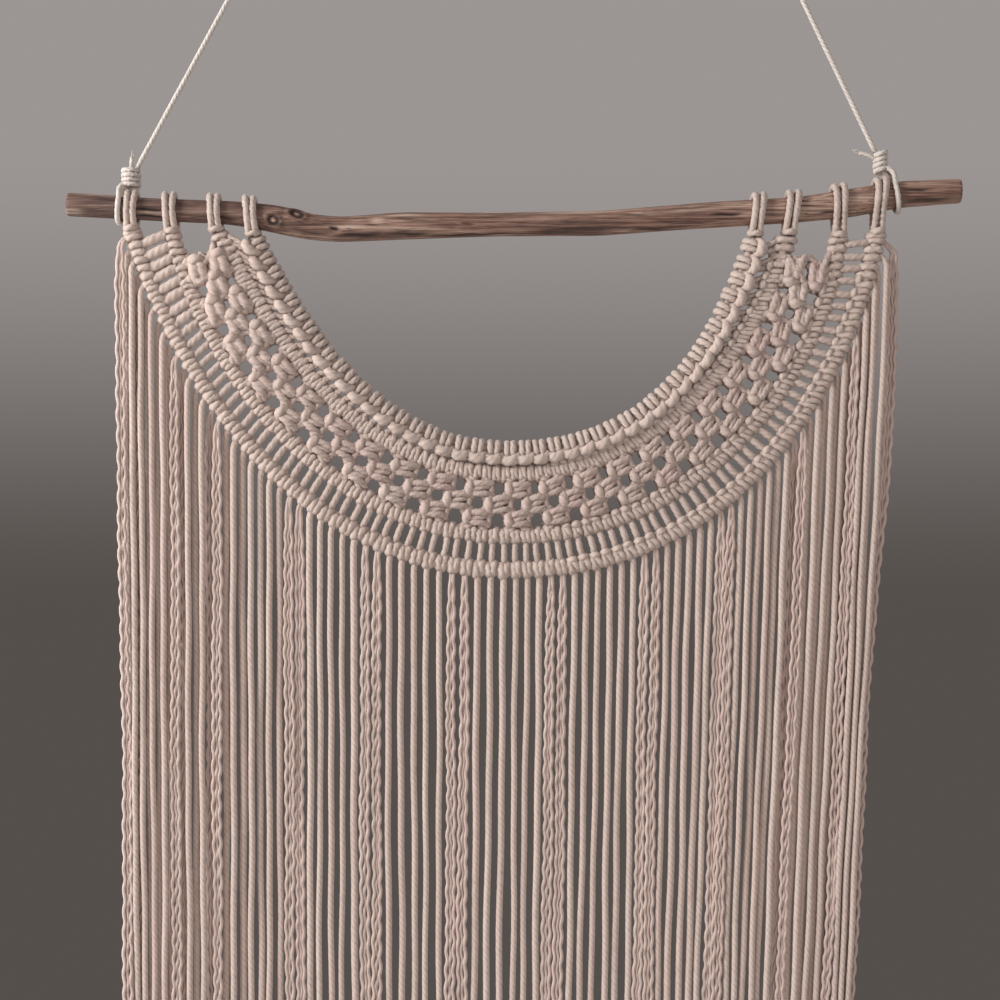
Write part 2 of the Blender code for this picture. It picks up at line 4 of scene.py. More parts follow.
import bpy
import numpy as np
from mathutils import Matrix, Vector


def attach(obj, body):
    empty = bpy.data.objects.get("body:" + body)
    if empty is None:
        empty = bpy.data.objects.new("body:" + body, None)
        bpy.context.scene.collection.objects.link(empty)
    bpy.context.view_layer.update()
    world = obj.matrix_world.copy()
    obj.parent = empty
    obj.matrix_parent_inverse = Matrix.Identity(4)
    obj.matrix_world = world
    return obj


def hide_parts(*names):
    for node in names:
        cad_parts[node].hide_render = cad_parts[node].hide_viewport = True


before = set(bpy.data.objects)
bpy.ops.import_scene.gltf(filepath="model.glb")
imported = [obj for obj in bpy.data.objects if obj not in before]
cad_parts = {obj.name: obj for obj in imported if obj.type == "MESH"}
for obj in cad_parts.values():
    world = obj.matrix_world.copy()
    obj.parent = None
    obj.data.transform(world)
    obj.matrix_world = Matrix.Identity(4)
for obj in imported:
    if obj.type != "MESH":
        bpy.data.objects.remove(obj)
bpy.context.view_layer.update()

# ---- The branch ------------------------------------------------------
# A crooked length of driftwood, about as thick as a thumb, barked and washed smooth. Its grain
# runs lengthways with dark checks in it, two twigs are cut off short, and both ends are sawn.
MM = 0.001
BRANCH_LINE = -410.0  # height of a level line through the branch, below the nail
# Places along the branch, and at each its rise over that line and its radius
BRANCH_X = (-249.3, -245.0, -204.9, -162.1, -143.4, -132.7, -119.3, -103.3, -71.2, -17.7, 35.8,
            89.3, 142.8, 169.6, 196.3, 224.0, 228.4)
BRANCH_RISE = (5.6, 5.4, 2.9, 1.1, -1.3, -3.2, -6.4, -7.8, -5.9, -5.1, -4.5, -0.5, 2.9, 6.4, 11.0,
               12.6, 12.8)
BRANCH_RADIUS = (6.1, 6.2, 6.0, 6.4, 7.3, 7.8, 7.1, 6.8, 7.2, 6.3, 6.7, 7.0, 6.8, 7.6, 7.1, 6.7, 6.6)
BRANCH_STEP = 0.9
BRANCH_SIDES = 72
ROUNDED_EDGE = 0.7  # how far in from each sawn end its edge is worn round
# Checks and dark streaks: place along, degrees up from the front, half length, half width, depth, dark
CHECKS = (
    (-204.5, -8, 8.0, 0.7, 0.9, 1.0), (-203.0, -47, 9.0, 0.8, 0.8, 1.0), (-166.0, -31, 9.0, 1.1, 0.3, 0.7),
    (-229.0, 38, 14.0, 0.8, 0.1, 0.5), (-236.0, -28, 7.0, 0.9, 0.1, 0.4), (-105.9, -6, 2.6, 1.1, 0.9, 1.0),
    (-93.0, -40, 13.0, 1.7, 0.4, 0.9), (-67.0, -46, 13.0, 1.6, 0.3, 0.8), (-30.0, -62, 23.0, 0.7, 0.7, 1.0),
    (-67.0, 74, 8.0, 0.9, 0.2, 0.8), (-42.0, 70, 14.0, 0.7, 0.1, 0.7), (-68.0, 28, 6.0, 0.8, 0.2, 0.7),
    (-57.0, 14, 11.0, 1.3, 0.1, 0.4), (-35.5, 0, 3.6, 0.7, 0.3, 0.7), (18.9, 2, 3.8, 0.6, 0.3, 0.7),
    (30.0, -35, 16.0, 1.8, 0.1, 0.6), (-10.0, 40, 22.0, 1.0, 0.1, 0.5), (102.5, -8, 8.5, 0.8, 0.7, 1.0),
    (54.0, 20, 9.0, 0.8, 0.2, 0.6), (62.5, -56, 10.0, 1.3, 0.2, 0.8), (82.0, 36, 16.0, 0.9, 0.1, 0.5),
    (157.5, -36, 5.0, 0.9, 0.3, 0.8), (127.0, -20, 10.0, 1.0, 0.1, 0.5), (203.5, 10, 7.0, 0.8, 0.3, 0.9),
    (210.0, -42, 14.0, 1.6, 0.2, 0.7), (176.0, 30, 9.0, 1.2, 0.1, 0.4), (-120.0, -34, 12.0, 1.4, 0.3, 0.6),
    (-152.0, 34, 8.0, 2.2, 0.0, 0.5), (-186.0, 24, 10.0, 1.0, 0.1, 0.4), (120.0, 140, 30.0, 0.9, 0.4, 0.8),
    (-90.0, 170, 40.0, 1.0, 0.5, 0.9), (10.0, 205, 36.0, 0.9, 0.4, 0.8), (-190.0, 150, 24.0, 1.0, 0.4, 0.8),
)
# Pale worn places: place along, degrees up from the front, half length, half width
WORN = ((-83.2, 29, 3.6, 2.6), (-100.0, 4, 9.0, 1.6), (-72.0, 50, 12.0, 1.0), (-203.5, -26, 9.0, 1.1),
        (-245.5, -44, 5.0, 2.2), (174.0, 8, 8.0, 2.6), (84.0, 24, 12.0, 1.2), (20.0, 60, 30.0, 1.6),
        (-30.0, 78, 24.0, 1.1), (-225.0, 70, 16.0, 1.2))
# Cut twigs: place along, degrees up from the front, radius, how long their cut is drawn out
TWIGS = ((-138.2, -11.0, 2.1, 1.05), (-125.8, 40.0, 1.9, 1.4))


def branch_at(x):
    """Height of the branch's middle, and its radius, at x, evened out over a short stretch."""
    spread = np.asarray(x)[..., None] + np.linspace(-6.0, 6.0, 7)
    rise = np.interp(spread, BRANCH_X, BRANCH_RISE).mean(axis=-1)
    radius = np.interp(spread, BRANCH_X, BRANCH_RADIUS).mean(axis=-1)
    return BRANCH_LINE + rise, radius


def wire(slot, value):
    """Sets a socket, or links to it what a Shade holds."""
    if isinstance(value, Shade):
        slot.id_data.links.new(value.socket, slot)
    else:
        slot.default_value = value


class Shade:
    """A value on its way through a finish; a sum on it adds the node that works it out."""

    def __init__(self, socket):
        self.socket = socket

    def work(self, operation, first, second=0.0):
        node = self.socket.id_data.nodes.new("ShaderNodeMath")
        node.operation = operation
        for slot, value in zip(node.inputs, (first, second)):
            wire(slot, value)
        return Shade(node.outputs[0])

    def __add__(self, other):
        return self.work("ADD", self, other)

    def __radd__(self, other):
        return self.work("ADD", other, self)

    def __sub__(self, other):
        return self.work("SUBTRACT", self, other)

    def __rsub__(self, other):
        return self.work("SUBTRACT", other, self)

    def __mul__(self, other):
        return self.work("MULTIPLY", self, other)

    def __rmul__(self, other):
        return self.work("MULTIPLY", other, self)

    def __pow__(self, other):
        return self.work("POWER", self, other)

    def most(self, other):
        return self.work("MAXIMUM", self, other)

    def least(self, other):
        return self.work("MINIMUM", self, other)


class Finish:
    """One material, put together node by node, or the look of a world that is given."""

    def __init__(self, name, world=None):
        self.material = world or bpy.data.materials.new(name)
        self.material.use_nodes = True
        self.tree = self.material.node_tree
        self.tree.nodes.clear()

    def node(self, kind, settings=None, sockets=None, out=0):
        node = self.tree.nodes.new("ShaderNode" + kind)
        for key, value in (settings or {}).items():
            if key == "stops":
                ramp = node.color_ramp
                while len(ramp.elements) < len(value):
                    ramp.elements.new(1.0)
                for stop, (at, colour) in zip(ramp.elements, value):
                    stop.position, stop.color = at, (*colour, 1.0)
            else:
                setattr(node, key, value)
        for key, value in (sockets or {}).items():
            wire(node.inputs[key], value)
        return Shade(node.outputs[out])

    def scaled(self, vector, by):
        return self.node("VectorMath", {"operation": "MULTIPLY"}, {0: vector, 1: by})

    def noise(self, vector, detail=3.0, roughness=0.55):
        return self.node("TexNoise", None, {"Vector": vector, "Scale": 1.0, "Detail": detail,
                                            "Roughness": roughness})

    def mix(self, share, first, second, blend="MIX"):
        first, second = ((*c, 1.0) if isinstance(c, tuple) else c for c in (first, second))
        return self.node("Mix", {"data_type": "RGBA", "blend_type": blend, "clamp_factor": True},
                         {0: share, 6: first, 7: second}, 2)

    def mark(self, name, out):
        """One channel of the marks painted on a mesh."""
        painted = self.node("Attribute", {"attribute_name": name}, None, "Color")
        return self.node("SeparateColor", None, {"Color": painted}, out)

    def surface(self, **sockets):
        skin = self.node("BsdfPrincipled", None, {key.replace("_", " "): value
                                                  for key, value in sockets.items()})
        wire(self.tree.nodes.new("ShaderNodeOutputMaterial").inputs["Surface"], skin)
        return self.material


TAN_STOPS = ((0.38, (0.040, 0.014, 0.010)), (0.45, (0.118, 0.052, 0.036)), (0.51, (0.215, 0.113, 0.081)),
             (0.57, (0.310, 0.184, 0.137)), (0.65, (0.480, 0.325, 0.252)))
MAUVE, FIBRE, RUBBED = (0.085, 0.050, 0.044), (0.46, 0.32, 0.25), (0.60, 0.43, 0.34)
IN_CHECKS, TWIG_RING = (0.022, 0.008, 0.006), (0.016, 0.006, 0.005)


def driftwood():
    """Streaked tan wood, mauve with age towards its left end, paler where it is rubbed."""
    wood = Finish("driftwood")
    place = wood.node("TexCoord", None, None, "Object")
    checks, worn, knots = (wood.mark("marks", channel) for channel in ("Red", "Green", "Blue"))
    patches = wood.noise(wood.scaled(place, (17.0, 110.0, 110.0)), 3.0)
    streaks = wood.noise(wood.scaled(place, (20.0, 720.0, 720.0)), 6.0, 0.68)
    fibres = wood.noise(wood.scaled(place, (90.0, 3400.0, 3400.0)), 4.0, 0.6)
    seams = wood.noise(wood.scaled(place, (11.0, 430.0, 430.0)), 2.0)
    lines = (1.0 - (seams - 0.5) ** 2.0 * 2600.0).most(0.0) * (patches * 3.0 - 1.1).most(0.0).least(1.0)
    east = wood.node("SeparateXYZ", None, {"Vector": place}, "X")
    tan = wood.node("ValToRGB", {"stops": TAN_STOPS},
                    {"Fac": streaks * 0.78 + patches * 0.48 + east * 0.18 - 0.127})
    age = ((east + 0.115) * -14.0).most(0.0).least(0.75)
    aged = wood.mix(age, tan, wood.mix(0.6, tan, MAUVE))
    fine = wood.mix((fibres - 0.45) * 2.2, aged, wood.mix(0.5, aged, FIBRE))
    pale = wood.mix(worn * (streaks * 2.6 - 0.7), fine, RUBBED)
    split = (checks * (0.5 + 1.5 * streaks)).most(lines * 0.8).least(0.97)
    dark = wood.mix(split, pale, IN_CHECKS)
    ringed = wood.mix(knots, dark, TWIG_RING)
    relief = streaks * 0.8 + fibres * 0.4 - checks * 0.8 - lines * 0.5
    bump = wood.node("Bump", None, {"Strength": 0.7, "Distance": 0.0006, "Height": relief})
    return wood.surface(Base_Color=ringed, Roughness=0.60 + 0.22 * fibres, Normal=bump)


def sawn_end():
    """The sawn ends: paler, with close rings."""
    wood = Finish("sawn_end")
    place = wood.node("TexCoord", None, None, "Object")
    rings = wood.noise(wood.scaled(place, (500.0, 900.0, 900.0)), 4.0)
    fibres = wood.noise(wood.scaled(place, (2200.0, 2200.0, 2200.0)), 3.0)
    tan = wood.node("ValToRGB", {"stops": ((0.32, (0.26, 0.16, 0.12)), (0.5, (0.50, 0.36, 0.28)),
                                           (0.68, (0.68, 0.53, 0.43)))}, {"Fac": rings})
    bump = wood.node("Bump", None, {"Strength": 0.5, "Distance": 0.0003, "Height": rings + fibres * 0.5})
    return wood.surface(Base_Color=tan, Roughness=0.7 + 0.2 * fibres, Normal=bump)


def sweep(turn, up):
    """How far round the branch a turn lies from a place that is given in degrees up from the front."""
    return (turn - math.radians(up) + math.pi) % (2 * math.pi) - math.pi


def put(name, data):
    """A new object of the scene."""
    made = bpy.data.objects.new(name, data)
    bpy.context.scene.collection.objects.link(made)
    return made


def branch_piece():
    along = np.arange(BRANCH_X[0], BRANCH_X[-1] + BRANCH_STEP / 2, BRANCH_STEP)
    turn = 2 * math.pi * np.arange(BRANCH_SIDES) / BRANCH_SIDES  # 0 is the front, then up
    x, t = np.meshgrid(along, turn, indexing="ij")
    middle, radius = branch_at(x)
    # a little out of round, with low ridges that wander along it
    reach = radius * (0.985 + 0.015 * np.sin(2 * t + 0.03 * x))
    reach += 0.09 * np.sin(11 * t + 0.035 * x + 2 * np.sin(0.012 * x)) + 0.05 * np.sin(23 * t - 0.05 * x)
    dark, worn, knot = np.zeros_like(x), np.zeros_like(x), np.zeros_like(x)
    for at, up, half, wide, depth, shade in CHECKS:
        stray = 0.35 * np.sin(0.35 * (x - at))
        near = np.exp(-np.abs((x - at) / half) ** 3.0 - ((radius * sweep(t, up) + stray) / wide) ** 2)
        reach -= depth * near
        dark = np.maximum(dark, shade * near)
    for at, up, half, wide in WORN:
        near = np.exp(-np.abs((x - at) / half) ** 2.5 - (radius * sweep(t, up) / wide) ** 2)
        worn = np.maximum(worn, near)
    for at, up, size, drawn in TWIGS:
        out = np.hypot((x - at) / drawn, radius * sweep(t, up))
        # a swollen collar, a groove round the cut, and the cut itself a little raised
        reach += 0.9 * np.exp(-((out - size - 1.5) / 1.3) ** 2) - 0.8 * np.exp(-((out - size) / 0.8) ** 2)
        reach += 0.3 * (out < size - 0.5)
        knot = np.maximum(knot, np.exp(-np.abs((out - size - 0.15) / 0.8) ** 3))
        dark *= np.clip((out - size + 1.6) / 0.8, 0.0, 1.0)
        worn = np.maximum(worn * (out > size), 1.3 * np.exp(-(np.abs(out - 0.3) / 0.6) ** 2))
    ends = np.minimum(np.abs(x - along[0]), np.abs(x - along[-1]))
    reach -= 0.5 * np.exp(-ends / ROUNDED_EDGE)
    points = np.stack((x, -reach * np.cos(t), middle + reach * np.sin(t)), axis=-1).reshape(-1, 3)
    rows, count = len(along), BRANCH_SIDES
    ring = np.arange(count)
    first = (np.arange(rows - 1)[:, None] * count + ring).ravel()
    other = (np.arange(rows - 1)[:, None] * count + (ring + 1) % count).ravel()
    faces = np.stack((first, first + count, other + count, other), axis=-1).tolist()
    faces += [ring.tolist(), (ring[::-1] + (rows - 1) * count).tolist()]
    mesh = bpy.data.meshes.new("driftwood_branch")
    mesh.from_pydata((points * MM).tolist(), [], faces)
    marks = mesh.color_attributes.new("marks", "FLOAT_COLOR", "POINT")
    paint = np.stack((dark, worn, knot, np.ones_like(x)), axis=-1)
    marks.data.foreach_set("color", paint.ravel())
    mesh.polygons.foreach_set("use_smooth", [True] * (len(faces) - 2) + [False] * 2)
    mesh.materials.append(driftwood())
    mesh.materials.append(sawn_end())
    mesh.polygons.foreach_set("material_index", [0] * (len(faces) - 2) + [1] * 2)
    piece = put("driftwood_branch", mesh)
    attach(piece, "root")
    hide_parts("branch")


branch_piece()

# ---- The cotton cord and the loops over the branch -------------------
# Everything else is undyed cotton cord, three plies twisted together, 4 mm thick. Each bar of
# the collar hangs from a pair of its ends taken over the branch and caught under a cross cord.
CORD = 1.9  # radius of the 4 mm cord, drawn down a little
LAY = 11.0  # length of one turn of its twist
PLY_CROWN = np.array((0.0, 1.0, 1.0) * 3)  # a valley and two crown points for each ply
UP, FRONT = np.array((0.0, 0.0, 1.0)), np.array((0.0, -1.0, 0.0))
PULL_WAVE = 9.0  # how far apart the places lie where a cord is pulled thin
STRIP_GAP = 0.8  # kept free between two cords' unrolled surfaces
END_ROOM, END_SIZE = 1.5, 0.6  # room for a cord's end beside its unrolled surface, and the end's size


CREAM, OATMEAL = (0.710, 0.588, 0.520), (0.600, 0.474, 0.412)  # the lightest cord and the darkest
ROSY, STRAW, BLEACHED = (0.640, 0.465, 0.425), (0.690, 0.548, 0.465), (0.830, 0.790, 0.735)
# The dark colour that the yarn's own darker fibres and clumps, and the shade painted in creases and between
# plies, are mixed towards.
FIBRE_DARK_AND_PAINTED_SHADE = (0.260, 0.170, 0.140)


def cotton(name, warmth, depth, paler=0.0):
    """Undyed cotton: fine fibres along each ply, with shade painted between the plies and in the creases,
    soft and dull. warmth is how much straw colour shows in it and depth how dark the shade painted where its
    plies part is."""
    yarn = Finish(name)
    strip = yarn.node("UVMap", {"uv_map": "strand"})
    place = yarn.node("TexCoord", None, None, "Object")
    tone, pink, ply_shade = (yarn.mark("yarn", channel) for channel in ("Red", "Green", "Blue"))
    around = yarn.node("SeparateXYZ", None, {"Vector": strip}, "X")
    down = yarn.node("SeparateXYZ", None, {"Vector": strip}, "Y")
    # Shade painted where the plies part, darkest in the valleys between them.
    painted_ply_shade = around.work("COSINE", around * (math.pi / 2)) * 0.5 + 0.5
    painted_ply_shade = painted_ply_shade ** 4.0 * ply_shade
    slanted = yarn.node("CombineXYZ", None, {"X": (around + down * 0.30) * 2.6, "Y": down * 0.22,
                                             "Z": tone * 9.0})
    fibres = yarn.noise(slanted, 3.0, 0.65)
    clumps = yarn.noise(yarn.scaled(place, (260.0, 260.0, 260.0)), 2.0)
    haze = yarn.noise(yarn.scaled(place, (24.0, 24.0, 24.0)), 2.0)
    base = yarn.mix(tone, CREAM, OATMEAL)
    base = yarn.mix(pink * 0.6, base, ROSY)
    base = yarn.mix((haze - 0.35) * warmth, base, STRAW)
    base = yarn.mix(paler, base, BLEACHED)
    # Shade painted into creases and where cords lie close, from how near other surfaces are. It is added to
    # the painted ply shade and to the yarn's own darker fibres and clumps.
    painted_crease_shade = 1.0 - yarn.node("AmbientOcclusion", {"samples": 4}, {"Distance": 0.002}, "AO")
    fibre_dark_and_painted_shade = painted_ply_shade * depth + (0.62 - fibres).most(0.0) * 0.6 + (0.5 - clumps).most(0.0) * 0.6
    fibre_dark_and_painted_shade = fibre_dark_and_painted_shade + painted_crease_shade ** 1.6 * 0.95
    base = yarn.mix(fibre_dark_and_painted_shade.least(0.9), base, FIBRE_DARK_AND_PAINTED_SHADE)
    height = fibres * 0.75 + clumps * 0.35 - painted_ply_shade * 0.6
    bump = yarn.node("Bump", None, {"Strength": 0.7, "Distance": 0.0005, "Height": height})
    return yarn.surface(Base_Color=base, Roughness=0.84 + 0.12 * clumps, Normal=bump,
                        Sheen_Weight=0.18, Sheen_Roughness=0.5, Specular_IOR_Level=0.25)


def run_along(points):
    """How far along a path each of its places lies."""
    return np.concatenate(((0.0,), np.cumsum(np.linalg.norm(np.diff(points, axis=0), axis=1))))


class Skein:
    """Lengths of cord gathered into one piece."""

    def __init__(self, seed):
        self.chance = np.random.default_rng(seed)
        self.points, self.faces, self.marks, self.strips, self.corners = [], [], [], [], []
        self.count = 0

    def vary(self, spread):
        return self.chance.uniform(-spread, spread)

    def lay(self, path, beside, radius=CORD, tone=None, pink=0.0, closed=False, twist=LAY, sides=0,
            valley=0.88, lumpy=0.05, ply_shade=0.4):
        """Lays one length along a path. beside is never parallel to it. valley is how deep its plies
        part, the ply mark how dark the shade painted between them is, and lumpy how unevenly it is
        pulled. With sides it is a plain tube, its plies shown only by painted shade."""
        path = np.asarray(path, float)
        rows, count = len(path), sides or len(PLY_CROWN)
        tone = self.chance.uniform(0.0, 1.0) if tone is None else tone
        if closed:
            ahead = np.roll(path, -1, axis=0) - np.roll(path, 1, axis=0)
            run = run_along(np.vstack((path, path[:1])))
        else:
            ahead = np.gradient(path, axis=0)
            run = run_along(path)
        thirds = 0 if sides else round(3 * run[-1] / twist)
        turns = run[:rows] * thirds / (3 * run[-1]) if closed else run[:rows] / twist * (not sides)
        ahead /= np.linalg.norm(ahead, axis=1)[:, None]
        over = np.cross(ahead, beside)
        over /= np.linalg.norm(over, axis=1)[:, None]
        lift = np.cross(over, ahead)
        waves = max(1, round(run[-1] / PULL_WAVE)) * np.array((1, 2))
        pull = np.sin(2 * math.pi * np.outer(run[:rows] / run[-1], waves) + self.chance.uniform(0, 6.3, 2))
        radius = (np.broadcast_to(radius, rows) * (1 + lumpy * pull @ (0.7, 0.5)))[:, None]
        reach = np.ones(count) if sides else valley + (1 - valley) * PLY_CROWN
        angle = 2 * math.pi * (turns[:, None] + np.arange(count) / count) + self.vary(math.pi) * (not closed)
        wide = (radius * reach * np.cos(angle))[..., None]
        tall = (radius * reach * np.sin(angle))[..., None]
        rings = path[:, None] + wide * over[:, None] + tall * lift[:, None]
        self.points.append(rings.reshape(-1, 3))
        marks = np.empty((rows, count, 4))
        marks[:] = (tone, pink, ply_shade, 1.0)
        self.marks.append(marks.reshape(-1, 4))
        self.join(rows, count, run, closed, thirds, 2 * math.pi * float(radius.mean()), (sides > 0) / twist)

    def join(self, rows, count, run, closed, thirds, girth, coil):
        """Faces between the rings, and where they lie on the unrolled strip."""
        ring = np.arange(count)
        k = np.arange(rows - (0 if closed else 1))[:, None]
        first, other = k * count + ring, k * count + (ring + 1) % count
        below_first, below_other = first + count, other + count
        if closed:
            shift = 3 * thirds % count
            below_first[-1], below_other[-1] = (ring + shift) % count, (ring + 1 + shift) % count
        quads = np.stack((first, below_first, below_other, other), axis=-1).reshape(-1, 4) + self.count
        u, v = np.broadcast_to(ring / count * girth, first.shape), np.broadcast_to(run[k], first.shape)
        u2, v2 = u + girth / count, np.broadcast_to(run[k + 1], first.shape)
        flat = np.stack((u, v, u, v2, u2, v2, u2, v), axis=-1).reshape(-1, 2)
        faces = quads.tolist()
        corners = [flat + (0.0, END_ROOM)]
        if not closed:
            faces += [(ring + self.count).tolist(), (ring[::-1] + (rows - 1) * count + self.count).tolist()]
            angle = ring * 2 * math.pi / count
            disc = np.stack((np.cos(angle), np.sin(angle)), axis=-1)
            corners += [disc * END_SIZE + (girth / 2, END_ROOM - STRIP_GAP),
                        disc[::-1] * END_SIZE + (girth / 2, run[-1] + END_ROOM + STRIP_GAP)]
        self.faces.append((faces, len(quads)))
        self.corners.append(np.concatenate(corners))
        self.strips.append((girth, run[-1] + 2 * END_ROOM, coil))
        self.count += rows * count

    def spread_strips(self):
        """Places every unrolled strip on one square sheet, longest first, in rows."""
        order = sorted(range(len(self.strips)), key=lambda k: -self.strips[k][1])
        area = sum((wide + STRIP_GAP) * (tall + STRIP_GAP) for wide, tall, _ in self.strips)
        page = max(math.sqrt(area) * 1.04, self.strips[order[0]][1] + STRIP_GAP)
        spots, x, y, row = {}, 0.0, 0.0, 0.0
        for k in order:
            wide, tall, _ = self.strips[k]
            if x + wide + STRIP_GAP > page:
                x, y, row = 0.0, y + row, 0.0
            if not row:
                row = tall + STRIP_GAP
            spots[k] = (x + STRIP_GAP / 2, y + STRIP_GAP / 2)
            x += wide + STRIP_GAP
        size = max(page, y + row)
        return np.concatenate([(self.corners[k] + spots[k]) / size for k in range(len(self.corners))])

    def piece(self, name, finish, slot, *nodes):
        """Makes the piece. On its strand sheet a ply is 4 wide and a cord 12."""
        faces = [face for group, _ in self.faces for face in group]
        smooth = [k < quads for group, quads in self.faces for k in range(len(group))]
        mesh = bpy.data.meshes.new(name)
        mesh.from_pydata((np.concatenate(self.points) * MM).tolist(), [], faces)
        mesh.polygons.foreach_set("use_smooth", smooth)
        mesh.uv_layers.new(name="OFBake").data.foreach_set("uv", self.spread_strips().ravel())
        around = [np.stack((12 * (flat[:, 0] / girth + k - coil * flat[:, 1]), flat[:, 1] + 3 * k), axis=-1)
                  for k, (flat, (girth, _, coil)) in enumerate(zip(self.corners, self.strips))]
        mesh.uv_layers.new(name="strand").data.foreach_set("uv", np.concatenate(around).ravel())
        marks = mesh.color_attributes.new("yarn", "FLOAT_COLOR", "POINT")
        marks.data.foreach_set("color", np.concatenate(self.marks).ravel())
        mesh.materials.append(finish)
        made = put(name, mesh)
        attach(made, "root")
        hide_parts(*nodes)


# The collar's four bars, top one first. Left end: place along, drop under the branch line, how far
# its lead goes sideways and down, and how flat it leaves the middle; the same on the right; then the
# drop in the middle, half the bar's width and half its thickness.
BARS = (
    ((-148.8, 12.3, 18.9, 36.3, 76.4), (118.0, 12.5, -24.2, 72.5, 67.7), 127.1, 5.9, 4.6),
    ((-168.0, 10.0, 31.5, 55.9, 86.5), (135.5, 11.8, -17.9, 66.9, 76.2), 138.2, 4.5, 4.9),
    ((-192.7, 11.1, 20.4, 80.5, 91.6), (163.4, 13.1, -8.5, 74.4, 100.4), 171.8, 4.5, 4.9),
    ((-214.3, 9.6, 29.7, 92.5, 103.9), (183.5, 11.3, -22.2, 98.8, 107.7), 190.0, 5.2, 5.1),
)
MID_X = -12.3  # where the bars hang lowest
CORDS_A_SIDE = 43  # cord ends on each side of it
RIGHT_SPREAD = 0.10  # how much wider than even the right side's outermost cords lie


def half_bar(end, side, low):
    """Places along one half of a bar from the middle to its end, and how far along each lies."""
    x, drop, lean_x, lean_drop, full = end
    t = np.linspace(0.0, 1.0, 240)[:, None]
    a, b, c, d = (np.array(p) for p in ((MID_X, -low), (MID_X + side * full, -low),
                                        (x + lean_x, -drop - lean_drop), (x, -drop)))
    points = (1 - t) ** 3 * a + 3 * (1 - t) ** 2 * t * b + 3 * (1 - t) * t ** 2 * c + t ** 3 * d
    points += (0.0, BRANCH_LINE)
    steps = np.hypot(*np.diff(points, axis=0).T)
    return points, np.concatenate(((0.0,), np.cumsum(steps)))


HALVES = {(n, side): half_bar(bar[0 if side < 0 else 1], side, bar[2])
          for n, bar in enumerate(BARS) for side in (-1, 1)}


def bar_point(n, column):
    """The middle line of bar n at a column, one a cord; on the right they spread wider upwards."""
    side = -1 if column < 0 else 1
    points, length = HALVES[n, side]
    share = min(abs(column) / CORDS_A_SIDE, 1.0)
    if side > 0:
        share *= 1 - RIGHT_SPREAD + RIGHT_SPREAD * share
    at = share * length[-1]
    return np.array((np.interp(at, length, points[:, 0]), np.interp(at, length, points[:, 1])))


def once_round(count):
    """Even turns round a closed cord."""
    return np.linspace(0.0, 2 * math.pi, count + 1)[:-1]


# Loops: CAD name, bar, side, x over the branch and under it, half the gap between the pair up there
LOOPS = (("loop_left_1", 3, -1, -214.5, -214.8, 1.9), ("loop_left_2", 2, -1, -194.5, -193.2, 2.1),
         ("loop_left_3", 1, -1, -170.7, -169.4, 1.9), ("loop_left_4", 0, -1, -151.7, -149.6, 2.0),
         ("loop_right_1", 0, 1, 120.9, 118.9, 2.1), ("loop_right_2", 1, 1, 139.4, 136.9, 2.3),
         ("loop_right_3", 2, 1, 163.4, 163.6, 2.3), ("loop_right_4", 3, 1, 185.9, 184.0, 2.1))
LOOP_CORD = 1.95
LOOP_GAP = 0.35  # left between a loop and the bark
loop_cotton = cotton("loop_cotton", 0.5, 0.30)
for number, (name, bar, side, top_x, foot_x, apart) in enumerate(LOOPS):
    skein = Skein(100 + number)
    foot = bar_point(bar, side * CORDS_A_SIDE)[1]
    tone = 0.25 + skein.vary(0.2)
    for pair in (-1, 1):
        path = []
        for turn in once_round(33):
            low = (1 - math.cos(turn)) / 2
            x = top_x * (1 - low) + foot_x * low + pair * (apart - 0.25 * low)
            x += 0.25 * math.sin(2 * turn + pair)
            middle, radius = branch_at(x)
            reach = radius + LOOP_GAP + LOOP_CORD
            down = max(0.0, middle - reach - foot - 1.5) * max(0.0, -math.cos(turn)) ** 2
            path.append((x, -reach * math.sin(turn) * (1 - 0.25 * low ** 3),
                         middle + reach * math.cos(turn) - down))
        skein.lay(path, (1.0, 0.0, 0.0), LOOP_CORD, tone, closed=True, valley=0.92)
    top, tip = foot + 2.6, skein.vary(0.6)
    cross = [(foot_x - 2.6 * math.cos(t), -4.7 * math.sin(t), top - tip * math.cos(t) + skein.vary(0.15))
             for t in once_round(18)]
    skein.lay(cross, UP, 2.1, tone, closed=True, valley=0.92)
    skein.piece(name + "_cord", loop_cotton, "loop_cotton", name)

# ---- The collar: bars of knots, net and ladder -----------------------
# The top bar is a row of lark's heads, each two upright turns over a cross cord. The other three
# are double half hitches: every cord is wound twice round a cord that runs along the bar.
WRAP_ROUND = 16  # places round one hitch
HITCH_PROUD = {1: 1.1, 2: 0.55, 3: -0.1}  # how far each bar's hitches stand past its width
HITCH_SIZE = {1: 0.84, 2: 0.72, 3: 0.72}  # their cord's radius, as a share of their pitch
HITCH_WAIST = {-1: 0.20, 1: 0.24}  # how far one is drawn in over the front, left and right
LEAN_COLUMNS = (-43, 0, 4, 8, 13, 22, 30, 36, 41)
HITCH_LEAN = (-9, 4, 6, 10, 14, 16, 20, 22, 14)  # degrees that a hitch lies off square
SLANT_FROM = 5  # from this column on a hitch slants and shows a round shoulder
SHOULDER = ((-1.6, 0.9, 1.2), (-1.0, 0.0, 2.9), (0.2, -0.3, 3.6), (1.3, 0.2, 2.9), (1.9, 1.2, 1.2))
SHOULDER_CORD = 1.9
STOUT_FROM = 3  # hitches this close to a bar's end, counted in cords, are fat
STOUT_CORD = 2.3
CORE_PLACES = np.linspace(-CORDS_A_SIDE, CORDS_A_SIDE, 91)


